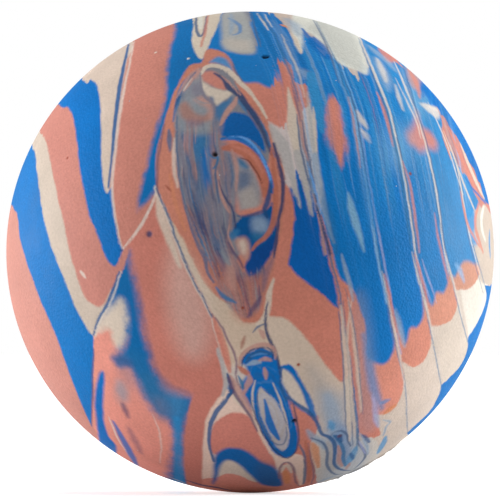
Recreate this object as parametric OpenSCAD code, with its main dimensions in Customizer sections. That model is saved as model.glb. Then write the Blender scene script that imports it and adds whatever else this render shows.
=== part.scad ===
// A solid bouncy ball pressed from folded strips of blue, salmon and cream rubber.
// The origin is the middle of the ball, +Z is up, and the face with the swirl looks along -Y.

/* [Ball] */
// Diameter of the ball
ball_d = 49; // [27:0.5:75]

/* [Moulding flash] */
// How far the torn flash stands out of the ball
flash_h = 0.35; // [0.1:0.05:0.8]
// Thickness of the flash across the parting line
flash_t = 0.6; // [0.3:0.1:1.2]
// Angle where the flash starts, from +X
flash_start = -74; // [-80:1:-66]
// Angle where the flash ends, from +X
flash_end = -52; // [-60:1:-45]

/* [Hidden] */
ball_r = ball_d / 2;
// What each prism runs past the ball
overrun = 1;
prism_h = ball_r + overrun;
// Steps of a curve between two points of an outline
curve_steps = 3;
// Sides of the ball's and the flash's rings
round_steps = 200;

blue = "#1666be";
salmon = "#d07f6b";
cream = "#d9c9b6";
grey = "#7d8090";

// Outlines are shares of the ball's radius, to the right and up. A point written twice is a corner.

// Strips that run round the ball: where they show in front, left and right, and behind
blue_outer_front_shares = [
    [-1.15, 0.26], [-0.98, 0.19], [-0.95, 0.05], [-0.92, -0.05], [-0.87, -0.19], [-0.80, -0.35],
    [-0.74, -0.52], [-0.70, -0.62], [-0.655, -0.72], [-0.655, -0.72], [-0.65, -0.55], [-0.645, -0.40],
    [-0.65, -0.345], [-0.65, -0.345], [-0.67, -0.32], [-0.73, -0.21], [-0.78, -0.08], [-0.83, 0.05],
    [-0.86, 0.18], [-0.88, 0.33], [-0.90, 0.44], [-1.00, 0.56]
];
blue_outer_right_shares = [
    [0.97, -0.14], [0.97, -0.14], [0.975, -0.20], [0.94, -0.29], [0.90, -0.35], [0.90, -0.35],
    [0.895, -0.41], [0.86, -0.48], [0.79, -0.55], [0.79, -0.55], [0.78, -0.59], [0.74, -0.66],
    [0.65, -0.745], [0.65, -0.745], [0.75, -0.95], [1.20, -0.60], [1.20, -0.14]
];
blue_outer_back_shares = [
    [-1.15, 0.50], [-0.90, 0.44], [-0.60, 0.33], [-0.20, 0.22], [0.20, 0.04], [0.60, -0.12],
    [0.97, -0.12], [1.20, -0.20], [0.95, -0.95], [0.67, -0.735], [0.40, -0.45], [0.00, -0.25],
    [-0.40, -0.02], [-0.75, 0.12], [-0.98, 0.19], [-1.15, 0.26]
];
cream_outer_front_shares = [
    [-1.05, 0.62], [-0.87, 0.50], [-0.83, 0.40], [-0.80, 0.25], [-0.77, 0.12], [-0.745, 0.00],
    [-0.715, -0.10], [-0.68, -0.19], [-0.63, -0.225], [-0.60, -0.21], [-0.575, -0.15],
    [-0.575, -0.15], [-0.605, -0.27], [-0.65, -0.345], [-0.65, -0.345], [-0.75, -0.30],
    [-0.95, 0.30], [-1.10, 0.50]
];
cream_outer_right_shares = [
    [0.90, 0.12], [0.93, 0.00], [0.95, -0.07], [0.965, -0.13], [1.15, -0.20], [1.15, 0.12],
    [1.02, 0.13], [0.97, 0.20], [0.94, 0.18]
];
cream_outer_back_shares = [
    [-1.10, 0.60], [-0.87, 0.50], [-0.55, 0.43], [-0.15, 0.36], [0.25, 0.22], [0.60, 0.11],
    [0.99, 0.14], [1.20, 0.14], [1.20, -0.40], [0.40, -0.30], [-0.40, 0.10], [-1.10, 0.40]
];
salmon_middle_front_shares = [
    [-0.95, 0.78], [-0.79, 0.61], [-0.755, 0.60], [-0.73, 0.55], [-0.715, 0.45], [-0.705, 0.35],
    [-0.685, 0.25], [-0.665, 0.15], [-0.63, 0.07], [-0.595, -0.02], [-0.575, -0.05],
    [-0.555, -0.055], [-0.54, -0.03], [-0.525, 0.01], [-0.50, 0.03], [-0.50, 0.03],
    [-0.505, -0.02], [-0.54, -0.10], [-0.575, -0.15], [-0.575, -0.15], [-0.61, -0.25],
    [-0.70, -0.20], [-0.90, 0.30], [-1.10, 0.60]
];
salmon_middle_right_shares = [
    [0.79, 0.57], [0.83, 0.51], [0.87, 0.44], [0.91, 0.37], [0.95, 0.29], [0.985, 0.20], [1.15, 0.20],
    [1.15, 0.05], [0.99, 0.08], [0.95, 0.19], [0.92, 0.26], [0.87, 0.34], [0.82, 0.42], [0.79, 0.50]
];
salmon_middle_back_shares = [
    [-1.00, 0.74], [-0.79, 0.61], [-0.50, 0.57], [-0.10, 0.53], [0.30, 0.42], [0.65, 0.26],
    [0.98, 0.20], [1.20, 0.20], [1.20, 0.00], [0.60, 0.00], [-0.20, 0.20], [-1.10, 0.45]
];
blue_middle_front_shares = [
    [-0.85, 0.90], [-0.69, 0.71], [-0.66, 0.715], [-0.635, 0.69], [-0.62, 0.63], [-0.615, 0.50],
    [-0.615, 0.40], [-0.605, 0.28], [-0.59, 0.245], [-0.573, 0.27], [-0.573, 0.27],
    [-0.56, 0.15], [-0.545, 0.06], [-0.525, 0.01], [-0.525, 0.01], [-0.55, -0.10],
    [-0.65, -0.05], [-0.80, 0.40], [-1.05, 0.70]
];
blue_middle_right_shares = [
    [0.70, 0.71], [0.73, 0.64], [0.77, 0.59], [0.81, 0.52], [0.85, 0.44], [0.89, 0.36],
    [0.93, 0.28], [0.975, 0.17], [1.15, 0.15], [1.10, 0.80], [0.80, 0.95]
];
blue_middle_back_shares = [
    [-0.85, 0.90], [-0.69, 0.72], [-0.45, 0.71], [-0.10, 0.72], [0.20, 0.67], [0.50, 0.63],
    [0.70, 0.71], [0.85, 0.90], [1.20, 0.60], [1.20, 0.15], [0.65, 0.10], [-0.20, 0.40], [-1.10, 0.50]
];
cream_wedge_front_shares = [
    [-0.58, 1.05], [-0.46, 0.86], [-0.49, 0.74], [-0.52, 0.60], [-0.54, 0.48], [-0.55, 0.36],
    [-0.57, 0.30], [-0.60, 0.22], [-0.65, 0.40], [-0.70, 0.68], [-0.90, 0.80]
];
cream_crown_shares = [
    [0.04, 1.10], [0.09, 0.99], [0.15, 0.93], [0.205, 0.83], [0.205, 0.83], [0.215, 0.90],
    [0.26, 0.87], [0.32, 0.82], [0.35, 0.82], [0.38, 0.77], [0.50, 0.74], [0.50, 0.74],
    [0.48, 0.80], [0.45, 0.89], [0.48, 1.10]
];
cream_wedge_back_shares = [
    [-0.58, 1.05], [-0.49, 0.87], [-0.30, 0.84], [-0.05, 0.86], [0.04, 0.90], [0.04, 1.15],
    [0.55, 1.10], [0.44, 0.90], [0.41, 0.80], [0.48, 0.60], [0.10, 0.60], [-0.60, 0.60], [-0.90, 0.80]
];
salmon_upper_front_shares = [
    [-0.55, 1.05], [-0.485, 0.87], [-0.505, 0.80], [-0.53, 0.68], [-0.55, 0.50], [-0.575, 0.36],
    [-0.575, 0.20], [-0.565, 0.08], [-0.53, 0.00], [-0.53, 0.00], [-0.44, 0.12], [-0.40, 0.22],
    [-0.385, 0.26], [-0.385, 0.26], [-0.36, 0.50], [-0.30, 0.70], [-0.25, 0.90], [-0.28, 1.10]
];
salmon_upper_back_shares = [
    [-0.58, 1.00], [-0.505, 0.86], [-0.30, 0.78], [-0.05, 0.79], [-0.12, 0.88], [-0.30, 0.945],
    [-0.34, 1.10]
];
blue_crown_front_shares = [
    [-0.36, 1.10], [-0.31, 0.935], [-0.33, 0.85], [-0.345, 0.75], [-0.35, 0.65], [-0.375, 0.55],
    [-0.405, 0.45], [-0.43, 0.35], [-0.455, 0.25], [-0.467, 0.17], [-0.467, 0.17],
    [-0.42, 0.22], [-0.385, 0.26], [-0.385, 0.26], [-0.30, 0.50], [-0.10, 0.70], [-0.18, 0.84],
    [-0.20, 1.10]
];
blue_crown_back_shares = [
    [-0.38, 1.10], [-0.32, 0.945], [-0.18, 0.88], [-0.05, 0.82], [0.06, 0.86], [0.09, 0.99], [0.10, 1.15]
];
salmon_rim_front_shares = [
    [-1.20, 0.30], [-0.90, 0.25], [-0.75, -0.20], [-0.64, -0.60], [-0.63, -0.70],
    [-0.60, -0.77], [-0.60, -1.00], [-1.20, -0.90]
];
salmon_rim_back_shares = [
    [-1.20, 0.30], [-0.30, 0.30], [0.30, -0.10], [0.50, -0.60], [0.40, -1.20], [-1.20, -1.20]
];

// Pieces round the crown
cream_hook_shares = [
    [-0.27, 1.10], [-0.235, 0.97], [-0.24, 0.88], [-0.225, 0.82], [-0.195, 0.80], [-0.165, 0.87],
    [-0.14, 0.92], [-0.12, 0.98], [-0.10, 1.10]
];
cream_hook_back_shares = [
    [-0.27, 1.10], [-0.24, 0.97], [-0.19, 0.92], [-0.09, 0.91], [-0.03, 0.99], [-0.02, 1.15]
];
grey_crown_patch_shares = [
    [-0.10, 1.10], [-0.115, 0.98], [-0.11, 0.93], [-0.11, 0.87], [-0.09, 0.84], [-0.04, 0.82],
    [0.01, 0.83], [0.035, 0.85], [0.02, 0.90], [0.00, 0.95], [-0.02, 1.10]
];
blue_crown_patch_shares = [
    [-0.20, 1.10], [-0.18, 0.92], [-0.19, 0.84], [-0.15, 0.80], [-0.10, 0.76], [-0.06, 0.72],
    [-0.02, 0.70], [0.03, 0.70], [0.08, 0.68], [0.12, 0.69], [0.12, 0.69], [0.115, 0.78],
    [0.115, 0.78], [0.15, 0.77], [0.14, 0.82], [0.10, 0.90], [0.05, 0.99], [0.04, 1.10]
];
salmon_crown_wedge_shares = [
    [-0.10, 0.80], [-0.04, 0.64], [0.04, 0.56], [0.08, 0.54], [0.13, 0.51], [0.165, 0.50],
    [0.18, 0.58], [0.25, 0.63], [0.23, 0.70], [0.18, 0.72], [0.14, 0.80]
];

// Ribbons right of the big swirl
cream_ribbon_shares = [
    [0.06, 0.62], [0.06, 0.50], [0.10, 0.40], [0.13, 0.30], [0.17, 0.26], [0.207, 0.185],
    [0.207, 0.185], [0.19, 0.29], [0.20, 0.32], [0.22, 0.27], [0.25, 0.15], [0.25, 0.15],
    [0.245, 0.25], [0.238, 0.31], [0.265, 0.22], [0.285, 0.16], [0.285, 0.16], [0.30, 0.24],
    [0.28, 0.38], [0.265, 0.52], [0.24, 0.64], [0.18, 0.66]
];
blue_dart_shares = [
    [0.12, 0.42], [0.15, 0.31], [0.18, 0.20], [0.18, 0.10], [0.158, -0.05], [0.158, -0.05],
    [0.20, -0.10], [0.28, -0.16], [0.34, -0.215], [0.366, -0.23], [0.366, -0.23],
    [0.355, -0.15], [0.33, -0.05], [0.31, 0.05], [0.285, 0.16], [0.27, 0.30], [0.24, 0.42]
];
salmon_lobe_right_shares = [
    [0.12, 0.31], [0.16, 0.27], [0.20, 0.10], [0.20, -0.05], [0.36, -0.20], [0.41, -0.25],
    [0.42, -0.36], [0.42, -0.48], [0.388, -0.535], [0.36, -0.52], [0.30, -0.45],
    [0.25, -0.38], [0.19, -0.31], [0.14, -0.27], [0.07, -0.26], [0.05, -0.20], [0.06, -0.12], [0.08, 0.00],
    [0.10, 0.12], [0.10, 0.26]
];
salmon_seam_strip_shares = [
    [0.285, 0.17], [0.31, 0.10], [0.34, 0.00], [0.37, -0.10], [0.42, -0.15], [0.45, -0.22],
    [0.475, -0.30], [0.482, -0.42], [0.495, -0.55], [0.515, -0.69], [0.54, -0.75], [0.48, -0.77],
    [0.455, -0.76], [0.44, -0.70], [0.42, -0.55], [0.405, -0.40], [0.385, -0.28], [0.35, -0.20],
    [0.32, -0.10], [0.28, 0.08]
];
cream_band_right_shares = [
    [0.06, -0.25], [0.07, -0.31], [0.09, -0.37], [0.09, -0.45], [0.12, -0.53], [0.17, -0.60],
    [0.22, -0.65], [0.27, -0.70], [0.30, -0.745], [0.34, -0.73], [0.40, -0.73], [0.46, -0.78],
    [0.46, -0.50], [0.30, -0.30], [0.15, -0.22]
];
cream_folds_shares = [
    [0.24, -0.72], [0.28, -0.70], [0.38, -0.70], [0.50, -0.74], [0.535, -0.80], [0.53, -0.95],
    [0.40, -1.10], [0.26, -1.10], [0.27, -0.92], [0.24, -0.82]
];
cream_folds_back_shares = [
    [0.18, -1.10], [0.20, -0.96], [0.06, -0.75], [-0.10, -0.52], [-0.35, -0.30], [-0.55, -0.14],
    [-0.50, 0.02], [-0.30, 0.02], [0.10, -0.15], [0.60, -0.55], [0.80, -0.85], [0.60, -1.10]
];

// Feathered stripes of the right side: blue first, then salmon, then cream towards the rim
feather_shares = [
    [
        [-0.04, 1.15], [0.08, 0.80], [0.16, 0.70], [0.22, 0.55], [0.25, 0.30], [0.28, 0.12],
        [0.33, -0.08], [0.41, -0.22], [0.44, -0.36], [0.49, -0.44], [0.545, -0.465],
        [0.585, -0.43], [0.597, -0.37], [0.58, -0.28], [0.56, -0.15], [0.53, 0.00],
        [0.49, 0.22], [0.45, 0.45], [0.40, 0.66], [0.36, 0.78], [0.25, 1.00], [0.15, 1.20]
    ],
    [
        [0.20, 1.10], [0.34, 0.74], [0.42, 0.40], [0.48, 0.05], [0.54, -0.18], [0.59, -0.26],
        [0.64, -0.38], [0.66, -0.315], [0.69, -0.31], [0.715, -0.27], [0.715, -0.20],
        [0.69, -0.05], [0.66, 0.07], [0.61, 0.35], [0.55, 0.62], [0.50, 0.74], [0.44, 0.82],
        [0.38, 0.95], [0.32, 1.20]
    ],
    [
        [0.36, 1.10], [0.44, 0.75], [0.56, 0.30], [0.64, 0.02], [0.70, -0.15], [0.75, -0.22],
        [0.77, -0.17], [0.80, -0.165], [0.82, -0.11], [0.81, -0.04], [0.79, 0.08], [0.77, 0.20],
        [0.74, 0.35], [0.68, 0.62], [0.63, 0.77], [0.70, 0.90], [0.60, 1.10]
    ],
    [
        [0.60, 0.90], [0.66, 0.50], [0.74, 0.20], [0.78, 0.00], [0.84, -0.10], [0.87, -0.05],
        [0.90, -0.04], [0.95, -0.05], [0.96, 0.00], [0.97, 0.12], [0.98, 0.24], [0.92, 0.44],
        [0.82, 0.62], [0.74, 0.80]
    ]
];
feather_back_shares = [
    [0.44, 1.10], [0.38, 0.90], [0.36, 0.76], [0.44, 0.58], [0.75, 0.60], [0.90, 0.90]
];
salmon_scallop_shares = [
    [
        [0.44, -0.30], [0.46, -0.50], [0.49, -0.64], [0.54, -0.67], [0.60, -0.64], [0.63, -0.57],
        [0.635, -0.50], [0.605, -0.38], [0.56, -0.30]
    ],
    [
        [0.57, -0.24], [0.57, -0.34], [0.60, -0.43], [0.65, -0.465], [0.68, -0.477],
        [0.725, -0.44], [0.745, -0.38], [0.74, -0.30], [0.70, -0.24]
    ],
    [
        [0.71, -0.18], [0.71, -0.23], [0.73, -0.29], [0.77, -0.305], [0.82, -0.29], [0.85, -0.24],
        [0.855, -0.18], [0.81, -0.13]
    ],
    [
        [0.80, -0.07], [0.82, -0.13], [0.85, -0.15], [0.88, -0.155], [0.92, -0.14], [0.945, -0.10],
        [0.95, -0.05], [0.90, -0.03]
    ]
];
cream_scallop_shares = [
    [
        [0.46, -0.58], [0.48, -0.75], [0.535, -0.80], [0.50, -1.00], [0.66, -1.00],
        [0.65, -0.75], [0.645, -0.66], [0.61, -0.50]
    ],
    [
        [0.61, -0.44], [0.60, -0.55], [0.62, -0.66], [0.62, -0.80], [0.80, -0.75], [0.82, -0.55],
        [0.79, -0.55], [0.76, -0.40], [0.72, -0.34]
    ],
    [
        [0.72, -0.27], [0.73, -0.40], [0.77, -0.55], [0.80, -0.60], [0.92, -0.50], [0.905, -0.36],
        [0.88, -0.22], [0.855, -0.13], [0.81, -0.20]
    ],
    [
        [0.85, -0.17], [0.86, -0.26], [0.88, -0.37], [0.98, -0.30], [1.00, -0.15], [0.965, -0.10],
        [0.94, -0.10]
    ]
];
salmon_spot_shares = [
    [0.315, 0.60], [0.34, 0.625], [0.37, 0.60], [0.385, 0.52], [0.40, 0.44], [0.39, 0.38],
    [0.365, 0.37], [0.34, 0.42], [0.315, 0.48], [0.31, 0.54]
];

// Pieces left of and below the big swirl
salmon_lobe_left_shares = [
    [-0.53, 0.04], [-0.46, 0.14], [-0.42, 0.24], [-0.385, 0.28], [-0.32, 0.18],
    [-0.26, 0.05], [-0.21, -0.06], [-0.14, -0.18], [-0.10, -0.26], [-0.06, -0.38], [-0.06, -0.50],
    [-0.09, -0.56], [-0.11, -0.61], [-0.16, -0.66], [-0.19, -0.74], [-0.20, -0.85],
    [-0.19, -0.95], [-0.18, -1.10], [-0.30, -1.10], [-0.30, -0.90], [-0.30, -0.74], [-0.36, -0.60],
    [-0.45, -0.40], [-0.53, -0.10]
];
blue_tongue_shares = [
    [-0.503, 0.00], [-0.503, 0.00], [-0.48, -0.10], [-0.46, -0.20], [-0.445, -0.30], [-0.42, -0.40],
    [-0.39, -0.50], [-0.35, -0.575], [-0.28, -0.59], [-0.24, -0.60], [-0.24, -0.66],
    [-0.27, -0.72], [-0.285, -0.80], [-0.28, -0.90], [-0.24, -0.96], [-0.22, -1.10],
    [-0.36, -1.10], [-0.34, -0.93], [-0.32, -0.85], [-0.315, -0.76], [-0.33, -0.70],
    [-0.39, -0.67], [-0.43, -0.60], [-0.46, -0.54], [-0.50, -0.48], [-0.55, -0.46],
    [-0.55, -0.42], [-0.52, -0.38], [-0.51, -0.30], [-0.52, -0.215], [-0.55, -0.20],
    [-0.585, -0.23], [-0.64, -0.27], [-0.61, -0.18], [-0.56, -0.08]
];
blue_tongue_back_shares = [
    [-0.38, -1.10], [-0.34, -0.94], [-0.26, -0.78], [-0.14, -0.62], [-0.12, -0.78], [-0.19, -0.97],
    [-0.20, -1.15]
];
cream_patch_left_shares = [
    [-0.66, -0.345], [-0.63, -0.29], [-0.59, -0.21], [-0.54, -0.16], [-0.49, -0.22], [-0.49, -0.32],
    [-0.53, -0.40], [-0.56, -0.38], [-0.575, -0.33], [-0.60, -0.315], [-0.63, -0.335]
];
blue_sliver_left_shares = [
    [-0.625, -0.505], [-0.603, -0.50], [-0.605, -0.60], [-0.605, -0.69], [-0.585, -0.76],
    [-0.55, -0.82], [-0.60, -0.95], [-0.62, -0.80], [-0.635, -0.70], [-0.643, -0.60]
];
blue_sliver_back_shares = [
    [-0.62, -0.95], [-0.61, -0.79], [-0.54, -0.68], [-0.55, -0.83], [-0.56, -0.98]
];
salmon_base_left_shares = [
    [-0.68, -0.37], [-0.62, -0.30], [-0.57, -0.29], [-0.45, -0.35], [-0.31, -0.70], [-0.32, -1.10],
    [-0.75, -1.00], [-0.635, -0.78], [-0.652, -0.70], [-0.652, -0.50]
];
cream_collar_shares = [
    [-0.12, -0.54], [-0.06, -0.54], [0.00, -0.59], [0.05, -0.68], [0.09, -0.77], [0.12, -0.82],
    [0.17, -0.83], [0.22, -0.85], [0.22, -0.96], [0.12, -0.93], [-0.08, -0.83], [-0.13, -0.90],
    [-0.15, -1.10], [-0.24, -1.10], [-0.22, -0.80], [-0.20, -0.66]
];
salmon_lobe_bottom_shares = [
    [-0.155, -0.83], [-0.165, -0.76], [-0.14, -0.70], [-0.08, -0.665], [-0.02, -0.67], [0.02, -0.72],
    [0.06, -0.80], [0.10, -0.86], [0.10, -0.90], [0.00, -0.88], [-0.10, -0.84]
];
blue_arch_shares = [
    [-0.155, -0.955], [-0.15, -0.88], [-0.145, -0.84], [-0.10, -0.81], [-0.05, -0.81], [0.00, -0.83],
    [0.05, -0.87], [0.10, -0.89], [0.125, -0.93], [0.13, -0.965], [0.05, -0.96], [0.00, -0.92],
    [-0.05, -0.875], [-0.09, -0.86], [-0.12, -0.88], [-0.14, -0.94]
];
salmon_bottom_shares = [
    [-0.22, -0.96], [-0.14, -0.93], [-0.09, -0.915], [-0.04, -0.925], [0.02, -0.95], [0.08, -0.93],
    [0.12, -0.91], [0.14, -0.87], [0.18, -0.90], [0.20, -0.96], [0.22, -1.15], [-0.22, -1.15]
];
cream_under_arch_shares = [
    [-0.146, -0.937], [-0.138, -0.90], [-0.12, -0.86], [-0.05, -0.85], [0.02, -0.90], [0.08, -0.98],
    [0.00, -0.99], [-0.10, -0.96]
];
salmon_bottom_back_shares = [
    [-0.25, -1.15], [-0.24, -0.97], [-0.17, -0.80], [-0.11, -0.58], [0.02, -0.55], [0.27, -0.90],
    [0.30, -1.15]
];
salmon_slip_shares = [
    [0.15, -0.58], [0.18, -0.62], [0.24, -0.66], [0.285, -0.685], [0.27, -0.76], [0.25, -0.80],
    [0.27, -0.92], [0.28, -1.10], [0.18, -1.10], [0.18, -0.90], [0.18, -0.80]
];
blue_leaf_shares = [
    [0.12, -0.475], [0.17, -0.465], [0.21, -0.53], [0.25, -0.60], [0.278, -0.685], [0.278, -0.685],
    [0.24, -0.67], [0.18, -0.63], [0.14, -0.58], [0.12, -0.52]
];

// The big swirl and what hangs below it
swirl_ring_shares = [
    [-0.385, 0.26], [-0.385, 0.26], [-0.39, 0.33], [-0.385, 0.42], [-0.36, 0.52], [-0.33, 0.62],
    [-0.295, 0.70], [-0.25, 0.77], [-0.20, 0.785], [-0.185, 0.83], [-0.15, 0.84], [-0.09, 0.81],
    [-0.06, 0.75], [-0.02, 0.69], [0.04, 0.60], [0.08, 0.53], [0.11, 0.45], [0.14, 0.34],
    [0.135, 0.12], [0.11, 0.00], [0.095, -0.12], [0.07, -0.22], [0.05, -0.28], [-0.02, -0.29],
    [-0.08, -0.22], [-0.14, -0.18], [-0.19, -0.12], [-0.23, -0.05], [-0.28, 0.06], [-0.345, 0.16]
];
swirl_grey_shares = [
    [-0.29, 0.66], [-0.25, 0.73], [-0.20, 0.75], [-0.15, 0.78], [-0.09, 0.76], [-0.05, 0.68],
    [0.00, 0.60], [0.05, 0.53], [0.08, 0.46], [0.075, 0.38], [0.05, 0.30], [0.04, 0.18],
    [0.00, 0.05], [-0.05, -0.02], [-0.10, -0.08], [-0.15, -0.05], [-0.20, 0.02],
    [-0.25, 0.14], [-0.29, 0.28], [-0.31, 0.42], [-0.31, 0.55]
];
swirl_blue_cap_shares = [
    [-0.14, 0.50], [-0.11, 0.54], [-0.08, 0.575], [-0.04, 0.575], [0.00, 0.56], [0.03, 0.52],
    [0.06, 0.45], [0.06, 0.41], [0.02, 0.45], [-0.03, 0.475], [-0.10, 0.475]
];
swirl_curl_shares = [
    [-0.12, 0.455], [-0.05, 0.465], [0.00, 0.44], [0.05, 0.38], [0.08, 0.31], [0.09, 0.22],
    [0.06, 0.17], [0.00, 0.15], [-0.05, 0.16], [-0.09, 0.22], [-0.10, 0.32], [-0.08, 0.40]
];
swirl_blue_patch_shares = [
    [-0.07, 0.09], [-0.05, 0.13], [0.00, 0.17], [0.05, 0.20], [0.08, 0.22], [0.11, 0.12],
    [0.10, 0.03], [0.08, -0.02], [0.04, -0.07], [0.00, -0.095], [-0.02, -0.06], [0.00, -0.01],
    [-0.02, 0.04], [-0.05, 0.06]
];
cream_neck_shares = [
    [-0.35, 0.17], [-0.30, 0.04], [-0.25, -0.07], [-0.19, -0.19], [-0.15, -0.27], [-0.12, -0.36],
    [-0.08, -0.46], [0.00, -0.50], [0.10, -0.48], [0.10, -0.38], [0.07, -0.30], [0.08, -0.20],
    [-0.05, -0.15], [-0.20, 0.00]
];
lower_swirl_shares = [
    [-0.05, -0.47], [-0.03, -0.43], [0.01, -0.41], [0.05, -0.395], [0.10, -0.42], [0.125, -0.48],
    [0.14, -0.56], [0.17, -0.65], [0.195, -0.74], [0.19, -0.82], [0.15, -0.85], [0.10, -0.83],
    [0.06, -0.77], [0.02, -0.68], [-0.03, -0.61], [-0.10, -0.56], [-0.11, -0.48]
];
lower_swirl_core_shares = [
    [0.04, -0.56], [0.07, -0.58], [0.11, -0.62], [0.14, -0.68], [0.16, -0.75], [0.155, -0.80],
    [0.13, -0.82], [0.10, -0.79], [0.07, -0.73], [0.04, -0.66], [0.03, -0.60]
];

// Every strip: its name, its colour, its outlines in front, and its outlines behind.
// Where outlines overlap, the strip that stands first in the list keeps the rubber.
STRIPS = [
    ["swirl_blue_cap", blue, [swirl_blue_cap_shares], []],
    ["swirl_curl", salmon, [swirl_curl_shares], []],
    ["swirl_blue_patch", blue, [swirl_blue_patch_shares], []],
    ["swirl_grey", grey, [swirl_grey_shares], []],
    ["swirl_ring", salmon, [swirl_ring_shares], []],
    ["lower_swirl_core", cream, [lower_swirl_core_shares], []],
    ["lower_swirl", blue, [lower_swirl_shares], []],
    ["blue_leaf", blue, [blue_leaf_shares], []],
    ["blue_outer_strip", blue,
        [blue_outer_front_shares, blue_outer_right_shares], [blue_outer_back_shares]],
    ["cream_outer_strip", cream,
        [cream_outer_front_shares, cream_outer_right_shares], [cream_outer_back_shares]],
    ["salmon_middle_strip", salmon,
        [salmon_middle_front_shares, salmon_middle_right_shares], [salmon_middle_back_shares]],
    ["blue_middle_strip", blue,
        [blue_middle_front_shares, blue_middle_right_shares], [blue_middle_back_shares]],
    ["cream_hook", cream, [cream_hook_shares], [cream_hook_back_shares]],
    ["grey_crown_patch", grey, [grey_crown_patch_shares], []],
    ["blue_crown_patch", blue, [blue_crown_patch_shares], []],
    ["salmon_crown_wedge", salmon, [salmon_crown_wedge_shares], []],
    ["blue_crown_strip", blue, [blue_crown_front_shares], [blue_crown_back_shares]],
    ["salmon_upper_strip", salmon, [salmon_upper_front_shares], [salmon_upper_back_shares]],
    ["cream_wedge_strip", cream, [cream_wedge_front_shares, cream_crown_shares], [cream_wedge_back_shares]],
    ["cream_ribbon", cream, [cream_ribbon_shares], []],
    ["blue_dart", blue, [blue_dart_shares], []],
    ["salmon_seam_strip", salmon, [salmon_seam_strip_shares], []],
    ["salmon_lobe_right", salmon, [salmon_lobe_right_shares], []],
    ["salmon_spot", salmon, [salmon_spot_shares], []],
    ["blue_feather_1", blue, [feather_shares[0]], []],
    ["blue_feather_2", blue, [feather_shares[1]], []],
    ["blue_feather_3", blue, [feather_shares[2]], [feather_back_shares]],
    ["blue_feather_4", blue, [feather_shares[3]], []],
    ["salmon_scallop_1", salmon, [salmon_scallop_shares[0]], []],
    ["salmon_scallop_2", salmon, [salmon_scallop_shares[1]], []],
    ["salmon_scallop_3", salmon, [salmon_scallop_shares[2]], []],
    ["salmon_scallop_4", salmon, [salmon_scallop_shares[3]], []],
    ["cream_scallop_1", cream, [cream_scallop_shares[0]], []],
    ["cream_scallop_2", cream, [cream_scallop_shares[1]], []],
    ["cream_scallop_3", cream, [cream_scallop_shares[2]], []],
    ["cream_scallop_4", cream, [cream_scallop_shares[3]], []],
    ["blue_arch", blue, [blue_arch_shares], []],
    ["salmon_lobe_bottom", salmon, [salmon_lobe_bottom_shares], []],
    ["salmon_bottom_strip", salmon, [salmon_bottom_shares], [salmon_bottom_back_shares]],
    ["cream_under_arch", cream, [cream_under_arch_shares], []],
    ["cream_collar", cream, [cream_collar_shares], []],
    ["salmon_slip", salmon, [salmon_slip_shares], []],
    ["cream_band_right", cream, [cream_band_right_shares], []],
    ["cream_folds_strip", cream, [cream_folds_shares], [cream_folds_back_shares]],
    ["cream_neck", cream, [cream_neck_shares], []],
    ["blue_tongue", blue, [blue_tongue_shares], [blue_tongue_back_shares]],
    ["salmon_lobe_left", salmon, [salmon_lobe_left_shares], []],
    ["cream_patch_left", cream, [cream_patch_left_shares], []],
    ["blue_sliver_left", blue, [blue_sliver_left_shares], [blue_sliver_back_shares]],
    ["salmon_base_left", salmon, [salmon_base_left_shares], []],
    ["salmon_rim_strip", salmon, [salmon_rim_front_shares], [salmon_rim_back_shares]]
];

function knot(p, i) = p[(i + len(p)) % len(p)];

// A point of the smooth curve from b to c, with a and d as their neighbours
function bend(a, b, c, d, t) =
    (2 * b + (c - a) * t + (2 * a - 5 * b + 4 * c - d) * t * t + (3 * b - a - 3 * c + d) * t * t * t) / 2;

// The smooth closed curve through an outline, in shares of the radius
function curve(p) = [
    for (i = [0 : len(p) - 1])
        if (knot(p, i) != knot(p, i + 1))
            for (k = [0 : curve_steps - 1])
                bend(knot(p, i - 1), knot(p, i), knot(p, i + 1), knot(p, i + 2), k / curve_steps)
];

function low(p, axis) = min([for (q = p) q[axis]]);
function high(p, axis) = max([for (q = p) q[axis]]);
function apart(a, b, axis) = low(a, axis) > high(b, axis) || low(b, axis) > high(a, axis);
function meet(a, b) = !apart(a, b, 0) && !apart(a, b, 1);

// The outlines of earlier strips that may overlap this one; side 2 is the front and 3 the back
function cutters(place, side, outline) = [
    for (i = [0 : 1 : place - 1])
        for (earlier = STRIPS[i][side])
            if (meet(curve(earlier), curve(outline))) earlier
];

module drawn(outline) {
    polygon(ball_r * curve(outline));
}

module trimmed(outline, cuts, n) {
    if (n == 0) {
        drawn(outline);
    } else {
        difference() {
            trimmed(outline, cuts, n - 1);
            drawn(cuts[n - 1]);
        }
    }
}

// One half of the ball's depth, from the middle plane outwards: front runs to -Y and back to +Y
module prisms(place, side) {
    for (outline = STRIPS[place][side]) {
        cuts = cutters(place, side, outline);
        translate([0, side == 2 ? 0 : prism_h, 0])
            rotate([90, 0, 0])
                linear_extrude(height = prism_h)
                    trimmed(outline, cuts, len(cuts));
    }
}

module ball_strip(name) {
    place = search([name], STRIPS)[0];
    color(STRIPS[place][1])
        intersection() {
            rotate([90, 0, 0])
                sphere(d = ball_d, $fn = round_steps);
            union() {
                prisms(place, 2);
                prisms(place, 3);
            }
        }
}

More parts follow.
